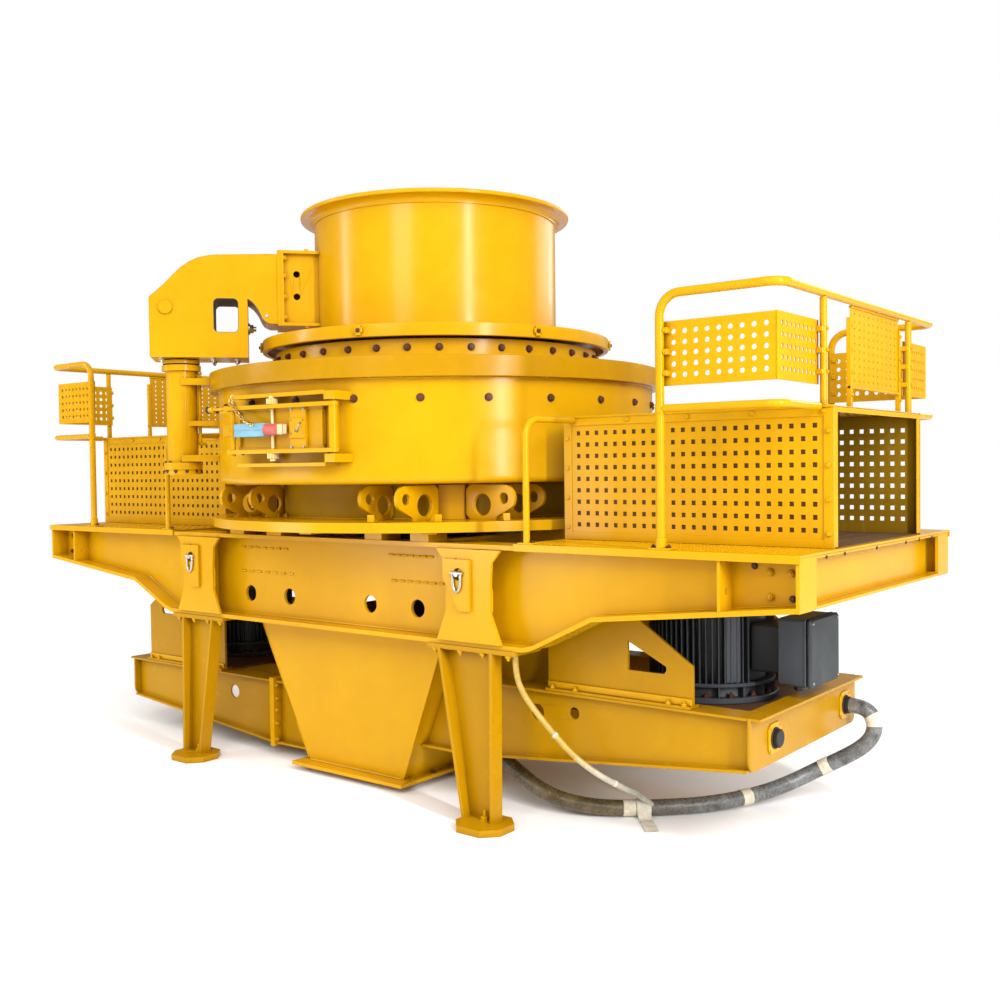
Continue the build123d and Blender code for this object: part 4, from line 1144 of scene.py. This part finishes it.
# ---------------------------------------------------------------- motors
g = GM()
for sx, z0 in ((1, 522), (-1, 412)):
    X0 = sx * 1640.0
    with g.at(Matrix.Translation((X0, 0, z0))):
        g.mi = 0
        g.revolve([(296, 0), (300, 4), (300, 22), (296, 26), (252, 26), (250, 30), (250, 66), (243, 74), (243, 426), (262, 434), (262, 492), (256, 503), (244, 507), (120, 507), (120, 499), (40, 499), (40, 0)], 96)
        g.revolve([(240, 70), (283, 70), (285, 73), (285, 83), (283, 86), (240, 86)], 96)
        g.revolve([(240, 414), (281, 414), (285, 418), (285, 428), (281, 431), (240, 431)], 96)
        g.revolve([(262, 462), (266, 466), (266, 474), (262, 478)], 72)
        # cooling fins, with two smooth strips beside the terminal box
        nf = 64
        for k in range(nf):
            a_ = 360.0 * k / nf
            off = (a_ - (0 if sx > 0 else 180) + 180) % 360 - 180
            if abs(off) < 24:
                continue
            with g.at(Matrix.Rotation(radians(a_), 4, 'Z')):
                g.box(238, 281, -3.1, 3.1, 84, 416, 1.4)
        # broad smooth pads
        for o in (-43, 43, 180):
            with g.at(Matrix.Rotation(radians(o + (0 if sx > 0 else 180)), 4, 'Z')):
                g.box(236, 278, -38, 38, 84, 416, 8)
        # ribs under the flange neck
        for k in range(16):
            with g.at(Matrix.Rotation(radians(22.5 * k + 11.25), 4, 'Z')):
                g.box(246, 288, -4, 4, 26, 70, 1)
        # fan cover grille
        for r_ in (150, 172, 194, 216, 236):
            g.revolve([(r_ + 3 * cos(2 * pi * i / 8), 508 + 3 * sin(2 * pi * i / 8)) for i in range(8)], 64)
        for k in range(12):
            with g.at(Matrix.Rotation(radians(30 * k), 4, 'Z')):
                g.box(118, 244, -3, 3, 505, 510, 0.6)
        # neck to the terminal box
        if sx > 0:
            g.box(236, 402.5, -95, 95, 130, 340, 10)
            g.box(390, 401.5, -112, 112, 116, 354, 4)
        else:
            g.box(-402.5, -236, -95, 95, 130, 340, 10)
            g.box(-401.5, -390, -112, 112, 116, 354, 4)
        # lifting eyes
        for s_ in (-1, 1):
            pts = [(0 + 20 * cos(2 * pi * i / 20), s_ * 276, 452 + 20 * sin(2 * pi * i / 20)) for i in range(21)]
            g.tube(pts, 6, 10, caps=False)
            g.box(-14, 14, s_ * 262, s_ * 284, 424, 436, 2)
make("motor_bodies", g, DARK, replaces=("drive_motors",), angle=30)
g = GM()
for sx, z0 in ((1, 522), (-1, 412)):
    for k in range(16):
        d_ = dirxy(22.5 * k)
        g.hexbolt((sx * 1640 + d_.x * 275, d_.y * 275, z0 + 26), (0, 0, 1), 13, 13, stud=9)
    for k in range(12):
        d_ = dirxy(30 * k + 15)
        g.hexbolt((sx * 1640 + d_.x * 262, d_.y * 262, z0 + 482), d_, 7, 7)
make("motor_bolts", g, BOLT)
# terminal boxes
g = GM()
for sx, z0 in ((1, 522), (-1, 412)):
    ax = (lambda a, b_, w: (sx * w, a, b_))
    g.mi = 0
    g.prism(rounded([(-176, z0 + 100), (130, z0 + 100), (130, z0 + 386), (-176, z0 + 386)], 16, 5), 2042, 2164, ax, 3)
    g.prism(rounded([(-179, z0 + 97), (133, z0 + 97), (133, z0 + 389), (-179, z0 + 389)], 17, 5), 2156, 2165, ax, 1.5)
    g.mi = 1
    g.prism(rounded([(-178, z0 + 98), (132, z0 + 98), (132, z0 + 388), (-178, z0 + 388)], 17, 5), 2166.5, 2190, ax, 8)
    g.mi = 0
    for y in (-90, -22, 46):
        g.cyl((sx * 2100, y, z0 + 101), (sx * 2100, y, z0 + 84), 24, 24, 2)
        g.cyl_n((sx * 2100, y, z0 + 86), (sx * 2100, y, z0 + 72), 22, 6, 2)
make("terminal_box_bodies", g, [DARK, TBOX], replaces=("terminal_boxes",), angle=30)
g = GM()
for sx, z0 in ((1, 522), (-1, 412)):
    for y in (-158, 112):
        for z in (z0 + 118, z0 + 368):
            g.cyl((sx * 2188, y, z), (sx * 2192, y, z), 6, 16, 0.8)
            g.cyl_n((sx * 2191, y, z), (sx * 2194.5, y, z), 4.4, 6, 0.6)
make("terminal_box_screws", g, STEEL)

# ---------------------------------------------------------------- platforms
g = GM()
for sx in (1, -1):
    for sy in (1, -1):
        y_ = sy * 508.0
        f = (lambda u, v, w, sx=sx, sy=sy: (sx * (1189 + u), sy * (508 - 4 + w), 1234.5 + v))
        perforated(g, f, 1229, 534, 4, 24, 9, 0.40, 52, 42, "square")
side_ob = make("platform_side_sheets", g, [YEL, SHADED], replaces=("platform_sides",), smooth=False)
# the faces that look into the platform take the second material, a painted shade
for p_ in side_ob.data.polygons:            # the faces that look into the platform
    if p_.normal.y * p_.center.y < -0.3:
        p_.material_index = 1
g = GM()
for sx in (1, -1):
    for sy in (1, -1):
        ya, yb = sy * 508, sy * 512
        # angle frame round each side
        g.box(sx * 1188.6, sx * 1229, ya - sy, yb, 1234.6, 1767.5, 1)
        g.box(sx * 2378, sx * 2418.6, ya - sy, yb, 1234.6, 1767.5, 1)
        g.box(sx * 1228, sx * 2379, ya, yb - sy * 0.4, 1735, 1771, 1)
        g.box(sx * 1228, sx * 2379, ya, yb - sy * 0.4, 1235, 1268, 1)
        g.box(sx * 2412, sx * 2417.4, sy * 503, sy * 470, 1238.5, 1768.5, 1)
        g.box(sx * 1190, sx * 1195, sy * 503, sy * 470, 1238.5, 1768.5, 1)
    g.box(sx * 2411.5, sx * 2419.5, -505, 505, 1750, 1768.4, 1)
    g.box(sx * 1188, sx * 2420, -515, -505.5, 1768, 1777, 1)
    g.box(sx * 1188, sx * 2420, 505.5, 515, 1768, 1777, 1)
make("platform_angle_frames", g, YEL)
g = GM()
for sx in (1, -1):
    for sy in (1, -1):
        for i in range(5):
            g.hexbolt((sx * (1230 + 287 * i), sy * 512, 1755), (0, sy, 0), 8, 8)
        for i in range(4):
            for x in (1209, 2398):
                g.hexbolt((sx * x, sy * 512, 1290 + 130 * i), (0, sy, 0), 9, 8)
make("platform_bolts", g, YEL)
g = GM()
for sx in (1, -1):
    # painted shade: a thin dark sheet close behind each front side plate, so its holes look dark
    g.box(sx * 1196, sx * 2404, -501.5, -498.5, 1242, 1762, 0.8)
make("platform_painted_shade_screens", g, BROWN)
g = GM()
for sx in (1, -1):
    g.box(sx * 1200, sx * 2410, -500, 500, 1234.3, 1237.5, 0.8)
    for x in range(1300, 2400, 100):
        g.box(sx * (x - 3), sx * (x + 3), -498, 498, 1236, 1240, 0.8)
make("platform_inner_floor", g, BROWN)
g = GM()
# tear pattern on the walkways
for sx in (1, -1):
    for sy in (1, -1):
        for i in range(40):
            for j in range(11):
                x = 1215 + i * 30.0
                y = 540 + j * 28.0
                if (i + j) % 2:
                    pts = [(-9, 0), (0, -2.6), (9, 0), (0, 2.6)]
                else:
                    pts = [(0, -9), (2.6, 0), (0, 9), (-2.6, 0)]
                top = [(sx * (x + a * 0.6), sy * (y + b_ * 0.6), 1236.0) for a, b_ in pts]
                bot = [(sx * (x + a), sy * (y + b_), 1234.3) for a, b_ in pts]
                fs = [(4, 5, 6, 7), (0, 1, 5, 4), (1, 2, 6, 5), (2, 3, 7, 6), (3, 0, 4, 7), (3, 2, 1, 0)]
                if sx * sy < 0:
                    fs = [q[::-1] for q in fs]
                g.add(bot + top, fs)
make("walkway_tread_pattern", g, YEL, smooth=False)

# ---------------------------------------------------------------- rail panels, clamps, feet
g = GM()
for sx, xp, xc in ((1, 1874.0, 2365.0), (-1, 1985.0, 2405.0)):
    for sy in (-1, 1):
        y_out = sy * 835.0
        xin, xout = xp + 2, xc - 23
        ye = 468 if sy < 0 else 505
        perforated(g, (lambda u, v, w, sx=sx, sy=sy, xin=xin: (sx * (xin + u), sy * (831 + w), 1858 + v)), xout - xin, 245, 4, 9, 5, 0.52, 22, 20, "round")
        perforated(g, (lambda u, v, w, sx=sx, sy=sy, ye=ye, xo=xout: (sx * (xo - 4 + w), sy * (ye + u), 1858 + v)), 835 - ye, 245, 4, 9 if sx > 0 else 8, 5, 0.52, 18, 20, "round")
    perforated(g, (lambda u, v, w, sx=sx, xo=xc - 12: (sx * (xo + w), -172 + u, 1860 + v)), 569, 327, 4, 10, 10, 0.40, 16, 14, "round")
    for sy in (-1, 1):
        g.cyl((sx * (xc - 26), sy * 832, 1857.6), (sx * (xc - 26), sy * 832, 2103.4), 5.5, 16, 0.5)
    for y0, y1 in ((-190, -170), (395, 411)):
        g.box(sx * (xc - 20), sx * xc, y0, y1, 1775, 2140, 1.5)
    g.box(sx * (xc - 16), sx * (xc - 2), -190, 411, 1856, 1866, 1)
    g.box(sx * (xc - 16), sx * (xc - 2), -172, 397, 2180, 2189, 1)
make("rail_panel_sheets", g, YEL, replaces=("rail_panels",), smooth=False)
g = GM()
for sx, xp, xc in ((1, 1874.0, 2365.0), (-1, 1985.0, 2405.0)):
    for sy in (-1, 1):
        for z in (1905, 1986, 2067):
            # clamps at the end post and at the side post
            g.box(sx * (xp + 12), sx * (xp + 34), sy * 824, sy * 862, z - 11, z + 11, 3)
            ys = 475 if sy < 0 else 512
            g.box(sx * (xc - 30), sx * (xc + 4), sy * (ys - 17), sy * (ys + 17), z - 11, z + 11, 3)
            g.hexbolt((sx * (xc + 14), sy * ys, z), (sx, 0, 0), 6, 6)
            g.hexbolt((sx * (xp + 22), sy * 862, z), (0, sy, 0), 6, 6)
    for z in (1830, 1920, 2010, 2110):
        g.hexbolt((sx * xc, -180, z), (sx, 0, 0), 6.5, 6)
        g.hexbolt((sx * xc, 403, z), (sx, 0, 0), 6.5, 6)
make("panel_clamps", g, YEL)
g = GM()
for sx, xp, xc in ((1, 1874.0, 2365.0), (-1, 1985.0, 2405.0)):
    for sy in (-1, 1):
        g.box(sx * xp - 46, sx * xp + 46, sy * 820, sy * 880, 1234.3, 1242, 1.5)
        k = 24
        g.bead([(sx * xp + 18 * cos(2 * pi * i / k), sy * 858 + 18 * sin(2 * pi * i / k), 1243) for i in range(k + 1)], 2.6, 6, 6)
        g.cyl((sx * xp, sy * 858, 1242), (sx * xp, sy * 858, 1280), 21, 28)
        g.box(sx * 1240 - 40, sx * 1240 + 40, sy * 838, sy * 880, 1234.3, 1241, 1.5)
        for z in (1772,):
            g.cyl((sx * xp, sy * 858, z - 17), (sx * xp, sy * 858, z + 17), 19.5, 28)
        ys = 475 if sy < 0 else 512
        g.box(sx * (xc - 26), sx * (xc + 20), sy * (ys - 24), sy * (ys + 24), 1774.5, 1781, 1)
make("rail_feet_and_sleeves", g, YEL, angle=30)
g = GM()
for sx, xp, xc in ((1, 1874.0, 2365.0), (-1, 1985.0, 2405.0)):
    for sy in (-1, 1):
        for a_ in (-34, 34):
            g.hexbolt((sx * xp + a_, sy * 858, 1242), (0, 0, 1), 8, 9, stud=5)
            g.hexbolt((sx * 1240 + a_ * 0.8, sy * 858, 1241), (0, 0, 1), 7, 8, stud=4)
make("rail_foot_bolts", g, BOLT)

# ---------------------------------------------------------------- glands, wraps and small parts of the hoses
g = GM()
for y in (-396, 365):
    g.mi = 1
    g.prism(rounded([(y - 62, 393), (y + 62, 393), (y + 62, 517), (y - 62, 517)], 34, 6), 2121.5, 2128, AX_YZ, 1.2)
    for dy_ in (-46, 46):
        for dz_ in (-46, 46):
            g.cyl((2127.5, y + dy_, 455 + dz_), (2131, y + dy_, 455 + dz_), 6, 12, 0.6)
    g.mi = 0
    g.cyl((2127, y, 455), (2133, y, 455), 44, 36, 1.5)
    g.cyl((2132, y, 455), (2152 if y < 0 else 2150, y, 455), 35.5, 36, 3)
    for k in range(28):
        a_ = 2 * pi * k / 28
        g.cyl((2133, y + 35.5 * cos(a_), 455 + 35.5 * sin(a_)), (2149, y + 35.5 * cos(a_), 455 + 35.5 * sin(a_)), 2.4, 6, 0.5)
sl_ = atan2(315.0, 732.0)
n3 = Vector((cos(sl_), 0, -sin(sl_)))
g3 = Vector((503, -442, 332.2))
w3 = g3 - n3 * ((503 - (330 + 315 * (332.2 - 44) / 732)) * cos(sl_))
g.cyl(w3 - n3 * 1, w3 + n3 * 7, 54, 36, 1.5)
g.cyl(w3 + n3 * 6, g3 + n3 * 2, 42, 36, 3)
for k in range(24):
    a_ = 2 * pi * k / 24
    e1, e2 = Vector((0, 1, 0)), n3.cross(Vector((0, 1, 0)))
    o_ = e1 * (42 * cos(a_)) + e2 * (42 * sin(a_))
    g.cyl(w3 + n3 * 8 + o_, g3 + o_, 2.6, 6, 0.5)
make("gland_fittings", g, [BLACK, YEL], replaces=("cable_glands",), angle=30)


def along(line, f0, f1, n=14):
    cum = [0.0]
    for a, b_ in zip(line[:-1], line[1:]):
        cum.append(cum[-1] + (b_ - a).length)
    out = []
    for i in range(n + 1):
        s = (f0 + (f1 - f0) * i / n) * cum[-1]
        k = 0
        while k < len(cum) - 2 and cum[k + 1] < s:
            k += 1
        t = (s - cum[k]) / max(1e-9, cum[k + 1] - cum[k])
        out.append(line[k].lerp(line[k + 1], t))
    return out


g = Geo()
for fc, w_ in ((0.052, 0.010), (0.190, 0.011), (0.362, 0.010), (0.584, 0.011)):
    pts = along(hose_line, fc - w_, fc + w_, 10)
    g.tube(pts, lambda t: HOSE_R + 0.0012 + 0.0011 * sin(t * 9.0) ** 2, 40)
tape_ob = make("hose_tape_bands", g, TAPE, angle=50)
g = Geo()
for fc, w_ in ((0.30, 0.006), (0.62, 0.006)):
    pts = along(thin_line, fc - w_, fc + w_, 6)
    g.tube(pts, THIN_R + 0.0012, 24)
thin_tape = make("control_hose_tape", g, TAPE, angle=50)

# cloth tie round the bundle, its end hanging to the ground
q_ = along(hose_line, 0.552, 0.566, 2)
cc_ = q_[1]
tg = (q_[2] - q_[0]).normalized()
out_ = Vector((tg.y, -tg.x, 0)).normalized()
if out_.dot(Vector((1, -1, 0))) < 0:
    out_ = -out_
W_ = 0.058
prof2 = []
R2 = HOSE_R + 0.0030
for i in range(16):                       # over the top and down the front
    a_ = radians(118 - 128 * i / 15)
    prof2.append((R2 * cos(a_), R2 * sin(a_)))
for i in range(1, 7):                     # a free curve down to the ground
    t = i / 6
    prof2.append((0.0374 + 0.034 * t, -0.0066 - 0.0290 * (1 - (1 - t) ** 2)))
for i in range(1, 19):                    # and along it
    t = i / 18
    prof2.append((0.0714 + 0.150 * t, -0.0356 + 0.0032 * abs(sin(t * 7.3)) * (1 - 0.4 * t)))
vs, fs = [], []
NWD = 14
th = 0.0011
for layer in (0, 1):
    for i, (a, h_) in enumerate(prof2):
        for j in range(NWD + 1):
            v_ = j / NWD
            wv = 0.0016 * sin(v_ * 9 + i * 0.45) + 0.0008 * sin(v_ * 23 + i * 1.1)
            taper = 1.0 + 0.02 * sin(i * 0.9)
            ln = hypot(a, h_) or 1.0
            if i < 16:
                na, nh = a / ln, h_ / ln
            else:
                na, nh = 0.15, 0.99
            off = max(0.0, wv) + (th if layer == 0 else 0.0)
            pa, ph = a + na * off, h_ + nh * off
            p = cc_ + tg * ((v_ - 0.5) * W_ * taper) + out_ * pa + Vector((0, 0, ph))
            p.z = max(p.z, 0.0012 + (th if layer == 0 else 0.0))
            vs.append(tuple(p))
m_ = len(prof2)
st = NWD + 1
o2 = m_ * st
for i in range(m_ - 1):
    for j in range(NWD):
        a, b_, c, d = i * st + j, i * st + j + 1, (i + 1) * st + j + 1, (i + 1) * st + j
        fs.append((a, b_, c, d))
        fs.append((o2 + d, o2 + c, o2 + b_, o2 + a))
for i in range(m_ - 1):
    for j in (0, NWD):
        a, d = i * st + j, (i + 1) * st + j
        fs.append((a, d, o2 + d, o2 + a) if j == 0 else (d, a, o2 + a, o2 + d))
for j in range(NWD):
    for i in (0, m_ - 1):
        a, b_ = i * st + j, i * st + j + 1
        fs.append((b_, a, o2 + a, o2 + b_) if i == 0 else (a, b_, o2 + b_, o2 + a))
g = Geo()
g.add(vs, fs)
tie_ob = make("cloth_tie", g, CLOTH, angle=70)
g = Geo()
pts = along(hose_line, 0.546, 0.572, 8)
g.tube(pts, lambda t: HOSE_R + 0.0017 + 0.0010 * sin(t * 14) ** 2, 40)
tie_ring = make("cloth_tie_band", g, CLOTH, angle=60)

# chute flange bolts; clamp bars along the hanger plates
g = GM()
for hx in (-1, 1):
    for k in range(9):
        if k % 2:
            g.hexbolt((hx * 360, -640 + 160 * k, 48), (0, 0, 1), 9, 10, stud=6)
make("chute_flange_bolts", g, BOLT)
g = GM()
for sy in (-1, 1):
    for sx in (-1, 1):
        yo = 620 if sx > 0 else 600
        if sy > 0:
            yo -= 120
        zt = 572 if sx > 0 else 412
        # clamp bars along the hanger plates
        g.box(sx * 1150, sx * 1860, sy * (yo - 30), sy * (yo - 22), zt + 12, zt + 40, 1.5)
make("hanger_bars", g, YEL)
